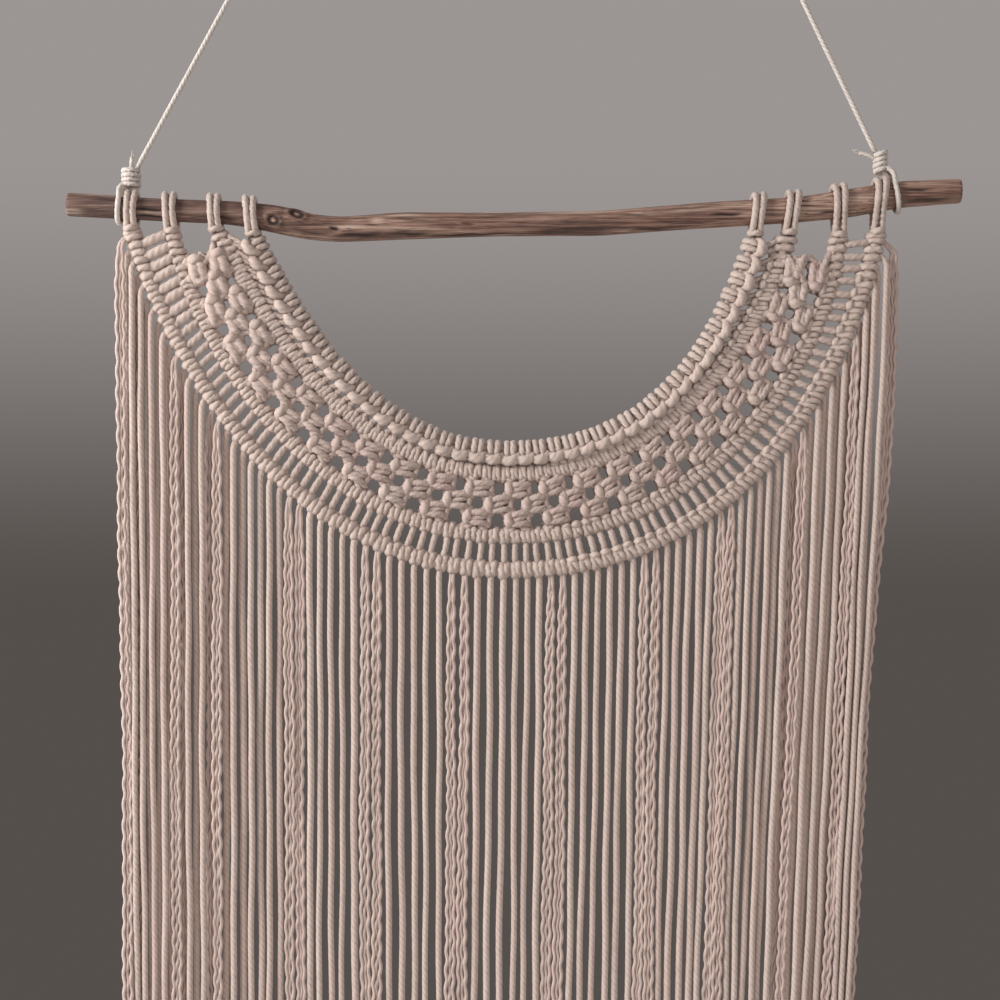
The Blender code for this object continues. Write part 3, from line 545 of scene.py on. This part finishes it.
def curve(points, count):
    """A smooth path of count places through a few points."""
    points = np.asarray(points, float)
    run = run_along(points)
    ends = np.vstack((2 * points[0] - points[1], points, 2 * points[-1] - points[-2]))
    at = np.linspace(0.0, run[-1], count)
    k = np.clip(np.searchsorted(run, at, side="right") - 1, 0, len(points) - 2)
    t = ((at - run[k]) / (run[k + 1] - run[k]))[:, None]
    a, b, c, d = ends[k], ends[k + 1], ends[k + 2], ends[k + 3]
    return 0.5 * (2 * b + (c - a) * t + (2 * a - 5 * b + 4 * c - d) * t ** 2
                  + (3 * b - a - 3 * c + d) * t ** 3)


def outward(n, column):
    """Unit direction from bar n to the next bar outwards."""
    n = min(n, 2)
    step = bar_point(n + 1, column) - bar_point(n, column)
    return step / np.hypot(*step)


def squarely(n, column):
    """Unit direction square to bar n, outwards."""
    column = max(0.6 - CORDS_A_SIDE, min(column, CORDS_A_SIDE - 0.6))
    step = bar_point(n, column + 0.5) - bar_point(n, column - 0.5)
    return np.array((step[1], -step[0])) / np.hypot(*step)


def spot(middle, away, over, out, front):
    """A place by a point of the collar: over is to the right along its bar, out is away from the neck."""
    x, z = middle + np.array((-away[1], away[0])) * over + away * out
    return np.array((x, -front, z))


def ways(away):
    """The directions over and out as lengths of one, for cords that are laid beside them."""
    return spot((0.0, 0.0), away, 1.0, 0.0, 0.0), spot((0.0, 0.0), away, 0.0, 1.0, 0.0)


def swell(count):
    """Nought at both ends of a short cord and one in its middle."""
    return np.sin(np.linspace(0.0, math.pi, count))


def hitch_bar(skein, n, tone):
    """Two turns a cord round the core of bar n, one set lower than the other. On the right they lean
    over more than on the left, and near the bar's ends they are fewer and fat."""
    half_width, half_depth = BARS[n][3:]
    last = CORDS_A_SIDE
    turn = once_round(WRAP_ROUND)
    from_front = turn - math.pi / 2
    pinch = 0.25 * np.exp(-(from_front / 0.4) ** 2)
    for side in (-1, 1):
        pitch = HALVES[n, side][1][-1] / last / 2
        fine = np.arange(0.25, last - STOUT_FROM - 0.4, 0.5)
        for column in (*fine, *np.arange(last - STOUT_FROM, last + 0.4, 2.2 / pitch)):
            stout = column > last - STOUT_FROM - 0.4
            column *= side
            pair = 0.0 if stout else (1.0 if column % 1 > 0.5 else -1.0)
            middle, away = bar_point(n, column), squarely(n, column)
            over_way, out_way = ways(away)
            broad = half_width * (1 + 0.14 * max(0.0, column) / last) + HITCH_PROUD[n]
            degrees = np.interp(column, LEAN_COLUMNS, HITCH_LEAN) + skein.vary(6)
            size = STOUT_CORD if stout else HITCH_SIZE[n] * pitch * math.cos(math.radians(0.8 * degrees))
            size *= 1 + skein.vary(0.1)
            wide = broad - size + skein.vary(0.35) - 0.4 * abs(pair)
            deep = half_depth - size + skein.vary(0.2) + 0.3
            lean = wide * math.tan(math.radians(degrees))
            meet = -1 if n == 1 or column > SLANT_FROM else 1  # a pair meets at its inner or outer edge
            shift, low = skein.vary(0.25), skein.vary(0.3) - 0.42 * pair
            path = []
            for t, dent in zip(turn, pinch):
                over = shift + lean * math.cos(t) - 0.1 * pitch * pair * (1 + meet * math.cos(t))
                path.append(spot(middle, away, over, low + wide * math.cos(t), (deep - dent) * math.sin(t)))
            drawn = HITCH_WAIST[side] + skein.vary(0.1)
            waist = 1 + 0.05 * np.cos(2 * turn)
            waist -= drawn * np.exp(-((from_front - skein.vary(0.25)) / 0.35) ** 2)
            skein.lay(path, over_way, size * waist, tone + skein.vary(0.25), 0.12, closed=True, valley=0.93)
            if column > SLANT_FROM and not stout and pair < 0:
                middle = bar_point(n, column + 0.25)
                knob = [spot(middle, away, shift + over, SHOULDER_CORD - broad + low + out, front)
                        for over, out, front in SHOULDER]
                size = SHOULDER_CORD * (1 + skein.vary(0.12)) * (0.8 + 0.2 * swell(9))
                skein.lay(curve(knob, 9), out_way, size, tone + skein.vary(0.25), 0.12, valley=0.93)
    core = [spot(bar_point(n, c), outward(n, c), 0.0, 0.0, 0.0) for c in CORE_PLACES]
    skein.lay(core, FRONT, half_depth - 1.7, 0.6, sides=8, lumpy=0.0)


# One leg of a lark's head and its cross cord: places to the right, out from the neck and forward
HEAD_LEG = ((2.0, 3.0, -2.2), (2.1, -0.3, -3.6), (2.05, -3.6, -2.6), (1.95, -4.9, -0.2), (1.85, -4.2, 2.2),
            (1.75, -2.2, 3.7), (1.55, 0.4, 3.9), (1.4, 2.2, 3.0))
HEAD_CROSS = ((-4.4, 0.6, 0.4), (-4.0, 2.5, 3.2), (-2.3, 4.0, 5.0), (0.1, 4.5, 5.6), (2.4, 3.9, 5.0),
              (4.0, 2.4, 3.2), (4.4, 0.6, 0.4))
HEAD_SET = 1.6  # how much further out the heads sit at the sides


def larks_head(skein, column):
    """Two upright turns over the top bar, caught under a plump cross cord."""
    tone, jog = 0.35 + skein.vary(0.3), skein.vary(0.3)
    middle, away = bar_point(0, column), squarely(0, column)
    over_way, out_way = ways(away)
    low = HEAD_SET * abs(away[0]) + skein.vary(0.3)
    for pair in (-1, 1):
        lean = skein.vary(0.35)
        leg = [spot(middle, away, pair * over + jog + lean * out / 5, out + low, front)
               for over, out, front in HEAD_LEG]
        size = 1.95 * (1 + skein.vary(0.05))
        skein.lay(curve(leg, 17), over_way, size, tone, valley=0.9)
        foot = bar_point(1, column + pair * 0.5)
        root = spot(middle, away, pair * 1.3, 4.4 + low, 1.6)
        foot = spot(foot, squarely(1, column), 0.0, -3.2, 1.2)
        skein.lay(curve((root, (root + foot) / 2 + (0.0, -0.4, 0.0), foot), 7), FRONT, 1.75, tone + 0.15)
    tip = -0.5 + 0.9 * min(0.0, column) / CORDS_A_SIDE + skein.vary(0.35)
    cross = [spot(middle, away, over, out + low + tip * over / 4, front) for over, out, front in HEAD_CROSS]
    size = 1.35 + 1.6 * np.sin(np.linspace(0.12, math.pi - 0.12, 17))
    skein.lay(curve(cross, 17), out_way, size, tone, 0.1, valley=0.9)


knotted_cotton = cotton("knotted_cotton", 0.5, 0.34)
skein = Skein(1)
for column in range(1 - CORDS_A_SIDE, CORDS_A_SIDE, 2):
    larks_head(skein, column)
core = [spot(bar_point(0, c), squarely(0, c), 0.0, HEAD_SET * abs(squarely(0, c)[0]) - 1.4, 0.2)
        for c in CORE_PLACES]
skein.lay(core, FRONT, 2.2, 0.6, sides=8, lumpy=0.0)
hitch_bar(skein, 1, 0.15)
skein.piece("neckline_knots", knotted_cotton, "knotted_cotton", "collar")

skein = Skein(2)
hitch_bar(skein, 2, 0.3)
skein.piece("third_bar", knotted_cotton, "knotted_cotton", "collar")

# The net hangs between the second and third bars: three rows of square knots, each row set half
# a knot along from the last, so that diamond holes are left. Each is four cords: two held, two tied.
NET_ROWS = ((1 / 6, 40), (3 / 6, 38), (5 / 6, 40))  # share of the way, column of the outermost knots
KNOT_WIDE, KNOT_TALL = 19.6, 8.2  # the room that one knot's shape below is drawn in
PRESSED = 0.72  # how flat an outer row's knots are on the side of their bar


def by_net(column, share, *local):
    """Places in the net: share runs from the second bar's edge to the third's."""
    away = outward(1, column)
    upper = bar_point(1, column) + away * BARS[1][3]
    lower = bar_point(2, column) - away * BARS[2][3]
    middle = upper + (lower - upper) * share
    tall = float(np.hypot(*(lower - upper))) / 3 / KNOT_TALL
    beside = bar_point(1, column + 0.5) - bar_point(1, column - 0.5)
    beside = beside + bar_point(2, column + 0.5) - bar_point(2, column - 0.5)
    wide = 4 * float(np.hypot(*beside)) / 2 / KNOT_WIDE
    return [spot(middle, away, over * wide, out * tall, front) for over, out, front in local]


# The cords that show in one knot: places to the right, out from the neck and forward
KNOT_UPPER = ((-5.0, -0.5, 2.0), (-3.2, -2.0, 3.6), (0.0, -3.1, 4.5), (3.2, -3.5, 4.1), (5.2, -4.2, 3.0),
              (6.6, -5.4, 1.2))
KNOT_LOWER = ((-5.0, 1.5, 2.0), (-3.2, 3.0, 3.6), (0.0, 3.3, 4.5), (3.2, 2.6, 4.1), (5.2, 3.0, 3.0),
              (6.6, 5.0, 1.2))
KNOT_CURL = ((5.2, -3.5, 1.6), (5.7, -1.6, 2.4), (5.7, 1.6, 2.4), (5.2, 3.5, 1.6))
KNOT_FILLER = ((-4.4, 1.6, 2.2), (-2.0, 0.9, 3.9), (1.6, -0.6, 4.1), (4.6, -1.9, 2.6))


def square_knot(skein, column, share):
    """One knot: its plump side loop, the two turns across it, a curl and a filling cord, the same
    again on the back turned round, and its four legs, two cords each."""
    tone, pink = 0.45 + skein.vary(0.3), 0.5 + skein.vary(0.35)
    over_way, out_way = ways(outward(1, column))
    slant = 0.4 * skein.vary(0.8)
    bump = ((-3.4, -4.2, 1.4), (-4.3 - slant, -2.3, 3.7), (-4.7, 0.1, 4.8), (-4.3 + slant, 2.4, 3.7),
            (-3.5, 4.3, 1.4))
    jog, tilt = skein.vary(0.4), skein.vary(0.1)
    full = 1 + 0.03 * max(0.0, -column - 22) + 0.015 * max(0.0, column - 28)  # plumper up the sides
    cords = ((bump, over_way, 2.6), (KNOT_UPPER, out_way, 2.0), (KNOT_LOWER, out_way, 2.0),
             (KNOT_CURL, over_way, 1.7), (KNOT_FILLER, out_way, 1.75))
    for shape, beside, size in cords:
        for face in (1, -1):
            turned = []
            for over, out, front in shape:
                flat = PRESSED if out * (share - 0.5) > 0 else 1.0
                turned.append((face * over + jog, out * flat + tilt * over, face * front))
            fill = 0.5 + 0.5 * full if shape is bump else full
            plump = size * fill * (1 + skein.vary(0.06)) * (0.93 + 0.12 * swell(11))
            path = curve(by_net(column, share, *turned), 11)
            skein.lay(path, beside, plump, tone + skein.vary(0.12), pink, valley=0.9)
    for side in (-1, 1):
        for half in (-1, 1):
            inner = ((side * 1.6 + jog, half * 2.2, 1.2), (side * 3.2, half * 4.3, 1.9),
                     (side * 5.0, half * 6.4, 1.3))
            outer = ((side * 3.6, half * 1.9, 0.6), (side * 5.0, half * 3.9, 0.9),
                     (side * 6.9, half * 5.9, 0.5))
            for leg, size in ((inner, 2.35), (outer, 1.9)):
                path = curve(by_net(column, share, *leg), 7)
                plump = size * full * (1 + skein.vary(0.08))
                skein.lay(path, FRONT, plump, tone + skein.vary(0.2), pink, valley=0.9)


skein = Skein(4)
for share, last in NET_ROWS:
    for column in range(-last, last + 1, 4):
  # drawn in a little at its ends, and its middle set over to the right
        square_knot(skein, 0.99 * column + 0.8 * (1 - (column / 40) ** 2), share)
# Loose turns where the net ends under the branch: how far forward, the cord's radius, and places
# along and up from the branch line
LOOSE_TURNS = (
    (2.6, 1.9, ((142.3, -31.6), (142.8, -25.1), (146.1, -22.7), (149.8, -25.1), (152.0, -30.5),
                (153.5, -37.0))),
    (1.6, 1.9, ((152.5, -38.0), (154.1, -30.5), (156.2, -25.1), (158.0, -21.5), (161.5, -19.5))),
    (2.2, 2.0, ((136.4, -23.0), (139.0, -28.4), (142.3, -32.6), (145.0, -38.5))),
    (0.6, 1.8, ((149.0, -42.0), (150.8, -36.0), (150.0, -31.0))),
    (2.0, 1.9, ((-183.5, -24.0), (-180.5, -27.5), (-176.0, -26.5), (-172.0, -22.0), (-170.5, -15.0))),
    (2.4, 1.9, ((-181.0, -33.0), (-177.5, -36.0), (-173.0, -33.0), (-169.5, -27.0))),
)
for front, size, turns in LOOSE_TURNS:
    path = [(x, -front - 1.5 - 1.2 * math.sin(1.3 * k), BRANCH_LINE + z) for k, (x, z) in enumerate(turns)]
    skein.lay(curve(path, 14), FRONT, size, 0.4 + skein.vary(0.2), 0.45, valley=0.9)
skein.piece("square_knot_net", knotted_cotton, "knotted_cotton", "collar")

# Below the net the cords cross plain to the lowest bar, like the rungs of a ladder, and that bar
# is hitched over their ends.
STEEPEST = 27.0  # degrees that the rungs at the left lean at most
# One rung: share of the way to the lowest bar, share of its bow, and how far forward
RUNG = ((0.18, 0.0, 0.8), (0.38, 1.0, 1.5), (0.62, 1.0, 1.5), (0.84, 0.0, 0.6))
skein = Skein(3)
for at in np.arange(0.5 - CORDS_A_SIDE, CORDS_A_SIDE):
    away = outward(2, at)
    gap = float(np.hypot(*(bar_point(3, at) - bar_point(2, at))))
    slope = gap * math.tan(math.radians(min(STEEPEST, max(0.0, -1.2 * (at + 11.0))))) + skein.vary(0.5)
    bow, crowd = skein.vary(0.5), 1.0 + 0.45 * max(0.0, min(1.0, (-32 - at) / 4))
    rung = [spot(bar_point(2, at), away, slope * (share - 0.5) + side * bow, gap * share, front)
            for share, side, front in RUNG]
    plump = crowd * (1.6 + 0.3 * abs(away[0]) + 0.25 * max(0.0, away[0]) + 0.12 * swell(12))
    skein.lay(curve(rung, 12), FRONT, plump, 0.35 + skein.vary(0.3), 0.25 + skein.vary(0.25), valley=0.9)
skein.piece("ladder_cords", knotted_cotton, "knotted_cotton", "collar")

# ---- The fringe ------------------------------------------------------
# Eighty-six cord ends hang from the lowest bar to one trimmed line. Some are combed out into their
# plies, which keep the waves of the twist. At the sides they crowd into two layers.
FRINGE_END, UNEVEN = -893.0, 3.5  # the trimmed line, and how far from it an end may be
STRAY = 1.5  # how far aside a cord with room round it may end
CROWD_PITCH, FREE_PITCH = 2.3, 5.6  # between two cords where they crowd, and where they hang free
LAYER = 2.2  # how far in front or behind the crowded ones hang
LEAN_AT = (-222.0, -180.0, -60.0, -12.0, 63.0, 103.0, 140.0, 193.0)
LEAN = (-0.008, -0.003, 0.0, 0.010, 0.018, 0.032, 0.042, 0.050)  # to the left, for each unit down
BULGE = {-43: -1.8, -42: -1.0, 41: 2.6, 42: 5.6}  # the outermost cords bow sideways
BULGE_DROP, BULGE_LENGTH = 80.0, 120.0


def hang_places():
    """Where each cord hangs: just outside its root, but never too close to the one before."""
    places = {}
    for side in (-1, 1):
        before = None
        for step in range(CORDS_A_SIDE):
            index = step if side > 0 else -1 - step
            away = outward(2, index + 0.5)
            x = (bar_point(3, index + 0.5) + away * BARS[3][3])[0] + away[0] * 0.6
            if before is not None:
                x = side * max(side * x, side * before + CROWD_PITCH)
            places[index] = before = x
    return places


HANG_X = hang_places()


def layer_of(index):
    """How far behind the middle a cord hangs; crowded ones hang behind and in front by turns."""
    near = [abs(HANG_X[index] - HANG_X[other]) for other in (index - 1, index + 1) if other in HANG_X]
    crowd = 1.0 - (min(near) - CROWD_PITCH) / (FREE_PITCH - CROWD_PITCH)
    return LAYER * max(0.0, min(1.0, crowd * 2.0)) * (1 if index % 2 == 0 else -1)


def hang_x(index, drop):
    """Where a cord is from side to side, at a drop below its root."""
    share = drop / (BRANCH_LINE - FRINGE_END)
    room = STRAY * max(0.0, (FREE_PITCH - LAYER - abs(layer_of(index))) / FREE_PITCH)
    stray = room * share ** 0.7 * np.sin(2.3 * index + 0.4 * index * index + 3.0 * share)
    bulge = BULGE.get(index, 0.0) * np.exp(-((drop - BULGE_DROP) / BULGE_LENGTH) ** 2)
    return HANG_X[index] - np.interp(HANG_X[index], LEAN_AT, LEAN) * drop + stray + bulge


def strand_path(index, step, skein):
    """From inside the lowest bar round its edge and down, with two slow waves each way."""
    away = outward(2, index + 0.5)
    root = bar_point(3, index + 0.5) + away * BARS[3][3]
    start = spot(bar_point(3, index + 0.5), away, 0.0, BARS[3][3] - 2.6, 0.5)
    end = FRINGE_END + UNEVEN * math.sin(1.7 * index) * math.cos(0.6 * index)
    z = np.arange(root[1] - 5.5, end, -step)
    drop = root[1] - z
    phase = skein.chance.uniform(0, 6.3, 4)
    ease = np.minimum(drop / 60.0, 1.0)
    x = ease * (0.30 * np.sin(drop / 31 + phase[0]) + 0.18 * np.sin(drop / 12 + phase[1]))
    y = ease * (0.35 * np.sin(drop / 37 + phase[2]) + 0.2 * np.sin(drop / 15 + phase[3]))
    x, y = hang_x(index, drop) + x, layer_of(index) + y
    neck = curve((start, (root[0] + 0.3 * (x[0] - root[0]), layer_of(index) * 0.6, root[1] - 1.2),
                  (x[0], y[0], z[0])), 4)[:-1]
    return np.vstack((neck, np.stack((x, y, z), axis=-1)))


hanging_cotton = cotton("hanging_cotton", 0.6, 0.30)
PLAIN_CORD, PLAIN_LAY = 1.72, 10.5
PLY, PLY_LAY = 1.06, 24.0  # one combed-out ply and its own twist
COMBED_WAVE = 10.6  # length of the waves that the cord's twist has left in it
COMBED = (-43, -40, -33, -32, -28, -27, -19, -18, -12, -11, -5, -4, 3, 4, 11, 12, 18, 19, 26, 27, 35, 36, 42)
FRINGE_GROUPS = (("fringe_left", -43, -17), ("fringe_middle", -16, 15), ("fringe_right", 16, 42))
for name, first, last in FRINGE_GROUPS:
    skein = Skein(200 + first)
    if name == "fringe_left":
        hitch_bar(skein, 3, 0.35)
    for index in range(first, last + 1):
        tone = 0.4 + skein.vary(0.35)
        if index in COMBED:
            path = strand_path(index, 1.9, skein)
            run = run_along(path)
            loose = np.minimum(run / 25.0, 1.0)
            phase = skein.chance.uniform(0, 6.3, 3)
            waves = 2 * math.pi * run / (COMBED_WAVE + skein.vary(0.6)) + 1.1 * np.sin(run / 53 + phase[0])
            for ply in (-1, 0, 1):
                turn = waves + 1.4 * np.sin(run / 41 + phase[ply]) + 0.7 * ply
                apart = ply * (0.5 + loose * (1.15 + 0.2 * np.sin(run / 61 + phase[2])))
                sideways = apart + 0.42 * loose * np.sin(turn)
                sway = np.stack((sideways, 0.35 * np.cos(turn) - 0.4 * abs(ply), 0 * run), axis=-1)
                skein.lay(path + sway, FRONT, PLY * (1 + 0.08 * np.cos(turn * 2)), tone + skein.vary(0.25),
                          0.7 + skein.vary(0.3), twist=PLY_LAY, sides=6, lumpy=0.02)
        else:
            skein.lay(strand_path(index, 2.6, skein), FRONT, PLAIN_CORD * (1 + skein.vary(0.08)), tone,
                      0.3 + skein.vary(0.3), twist=PLAIN_LAY, sides=8, lumpy=0.03, ply_shade=0.8)
    skein.piece(name, hanging_cotton, "hanging_cotton", "fringe")

# ---- The hanging cord ------------------------------------------------
# A thinner twisted cord, 3 mm, runs over the nail. At each end it takes a turn round the branch
# and is wound round itself in a tight knot with a short tail.
THIN = 1.5
THIN_LAY = 10.0
NAIL_BEND = 4.0  # radius of the cord's bend over the nail
KNOT_TURNS = 4
KNOT_PLACES = 14  # places round each of them
WISPS = 7  # loose yarns that show at the end of a tail
# Ties: CAD name, x and rise of the knot's middle, half width, half height, turn's x over and under,
# and where its tail ends, from its middle
TIES = (("tie_knot_left", -215.0, 19.3, 5.6, 6.4, -220.4, -221.6, (0.4, 11.6)),
        ("tie_knot_right", 185.8, 27.8, 4.3, 7.0, 191.8, 195.0, (-11.5, 5.5)))
cord_cotton = cotton("cord_cotton", 0.4, 0.28, 0.6)
for name, x, rise, half_width, half_height, over_x, under_x, tail in TIES:
    skein = Skein(300 + len(name))
    middle = np.array((x, 0.0, BRANCH_LINE + rise))
    side = 1 if x > 0 else -1
    share = np.linspace(-1.0, 1.0, KNOT_TURNS * KNOT_PLACES + 1)
    round_it = math.pi * KNOT_TURNS * share
    reach = (half_width - THIN) * (1 - 0.16 * share ** 2) + 0.25 * np.sin(round_it * 0.37 + x)
    climb = share * (half_height - THIN) + side * 0.16 * reach * np.cos(round_it)
    wound = middle + np.stack((reach * np.cos(round_it), reach * np.sin(round_it) * 0.95, climb), axis=-1)
    skein.lay(wound, UP, THIN * 1.08, 0.2, twist=THIN_LAY)
    centre, radius = branch_at(under_x)
    inside, below = half_height * 0.2, middle[2] - half_height * 0.75
    path = [middle + (0, -1.2, -inside), np.array((over_x, -3.6, below))]
    for degrees in range(120, -121, -15):
        turn = math.radians(degrees)
        high = (1 - math.cos(turn)) / 2
        reach = radius + 0.5 + THIN
        path.append(np.array((under_x + (over_x - under_x) * high, -reach * math.sin(turn),
                              centre - reach * math.cos(turn))))
    path += [np.array((over_x, 3.6, below)), middle + (0, 1.2, -inside)]
    skein.lay(curve(path, 64), (1.0, 0.0, 0.0), THIN, 0.2, twist=THIN_LAY)
    tip = middle + (tail[0], 0.0, tail[1])
    path = (middle + (0.0, 0.0, 1.0), middle * 0.45 + tip * 0.55 + (0.0, -0.8, 0.9), tip)
    skein.lay(curve(path, 12), FRONT, THIN * np.linspace(0.95, 0.7, 12), 0.15, twist=THIN_LAY)
    out = (tip - middle) / np.linalg.norm(tip - middle)
    for _ in range(WISPS):
        lean = np.array((skein.vary(1.6), skein.vary(1.6), skein.vary(1.6)))
        path = (tip - out * 2.0, tip + out * 1.2 + lean * 0.5, tip + out * 2.4 + lean)
        skein.lay(curve(path, 6), (0.3, 1.0, 0.2), np.linspace(0.4, 0.16, 6), 0.1, sides=5)
    skein.piece(name + "_cord", cord_cotton, "cord_cotton", name)

skein = Skein(400)
centre = np.array((0.0, 0.0, THIN - NAIL_BEND))
path = []
for name, x, rise, half_width, half_height, *_ in TIES:
    side = 1 if x > 0 else -1
    knot = np.array((x, 0.0, BRANCH_LINE + rise))
    to_knot = math.atan2(knot[2] - centre[2], side * (x - centre[0]))
    touch = to_knot + math.acos(NAIL_BEND / np.linalg.norm(knot - centre))
    leave = centre + np.array((side * math.cos(touch), 0.0, math.sin(touch))) * NAIL_BEND
    start = knot + (leave - knot) / np.linalg.norm(leave - knot) * (half_height * 0.6)
    half = [start + (leave - start) * share for share in np.linspace(0.0, 1.0, 60)]
    half += [centre + np.array((side * math.cos(turn), 0.0, math.sin(turn))) * NAIL_BEND
             for turn in np.linspace(touch, math.pi / 2, 10)[1:]]
    path = half if not path else path + half[-2::-1]
skein.lay(path, FRONT, 0.9 * THIN, 0.25, twist=9.0, sides=10, lumpy=0.02, ply_shade=1.0)
skein.piece("hanging_cord_twisted", cord_cotton, "cord_cotton", "hanging_cord")

# ---- The room --------------------------------------------------------
# A plain pale floor well below, soft light from the upper left with a weaker fill, and a camera
# square to the hanging at the height of its lower half. Sizes here are in metres.
FLOOR, FLOOR_DOWN = 1.5, -1.35  # half the floor's side, and its height
floor_mesh = bpy.data.meshes.new("floor")
floor_mesh.from_pydata([(x * FLOOR, y * FLOOR, FLOOR_DOWN) for x, y in ((-1, -1), (1, -1), (1, 1), (-1, 1))],
                       [], [(0, 1, 2, 3)])
put("floor", floor_mesh)
plaster = Finish("pale_floor")
mottle = plaster.noise(plaster.scaled(plaster.node("TexCoord", None, None, "Object"), (3.0, 3.0, 3.0)), 3.0)
floor_mesh.materials.append(plaster.surface(
    Base_Color=plaster.mix(mottle, (0.66, 0.65, 0.63), (0.72, 0.71, 0.69)), Roughness=0.8 + 0.1 * mottle))

# The world is darker low down. It gives less light from below, and where it is seen through the fringe and
# the net its dark is painted shadow, standing in for a wall in shade behind them.
PAINTED_SHADE_LOW_AIR, HIGH_AIR = (0.092, 0.079, 0.073), (0.330, 0.306, 0.296)
world = bpy.data.worlds.new("room")
air = Finish("room", world)
level = air.node("SeparateXYZ", None, {"Vector": air.node("TexCoord", None, None, "Generated")}, "Z")
up = air.node("MapRange", {"interpolation_type": "SMOOTHSTEP"},
              {"Value": level, "From Min": -0.05, "From Max": 0.16})
sky = air.node("Background", None, {"Color": air.mix(up, PAINTED_SHADE_LOW_AIR, HIGH_AIR)})
wire(air.tree.nodes.new("ShaderNodeOutputWorld").inputs["Surface"], sky)
bpy.context.scene.world = world

AIM = np.array((-0.018, 0.0, -0.56))
# Lamps: place, how wide, watts
LAMPS = (("window", (-1.7, -1.0, 0.2), 0.8, 33.5), ("rim", (-0.95, -0.1, -0.45), 0.35, 4.5),
         ("fill", (0.5, -2.2, -0.3), 1.5, 12.0), ("behind", (0.4, 1.9, 0.0), 1.4, 10.0))
for name, place, size, power in LAMPS:
    lamp = bpy.data.lights.new(name, "AREA")
    lamp.shape, lamp.size, lamp.energy = "DISK", size, power
    light = put(name, lamp)
    light.location = place
    light.rotation_euler = (Vector(AIM) - Vector(place)).to_track_quat("-Z", "Y").to_euler()

CAMERA_AWAY = 1.2
VIEW_WIDE = 0.535  # what it takes in across, at the hanging
lens = bpy.data.cameras.new("camera")
lens.lens = lens.sensor_width * CAMERA_AWAY / VIEW_WIDE
camera = put("camera", lens)
camera.location = (-0.0177, -CAMERA_AWAY, -0.5625)
camera.rotation_euler = (math.pi / 2, 0.0, 0.0)
bpy.context.scene.camera = camera
bpy.context.scene.view_settings.view_transform = "Standard"
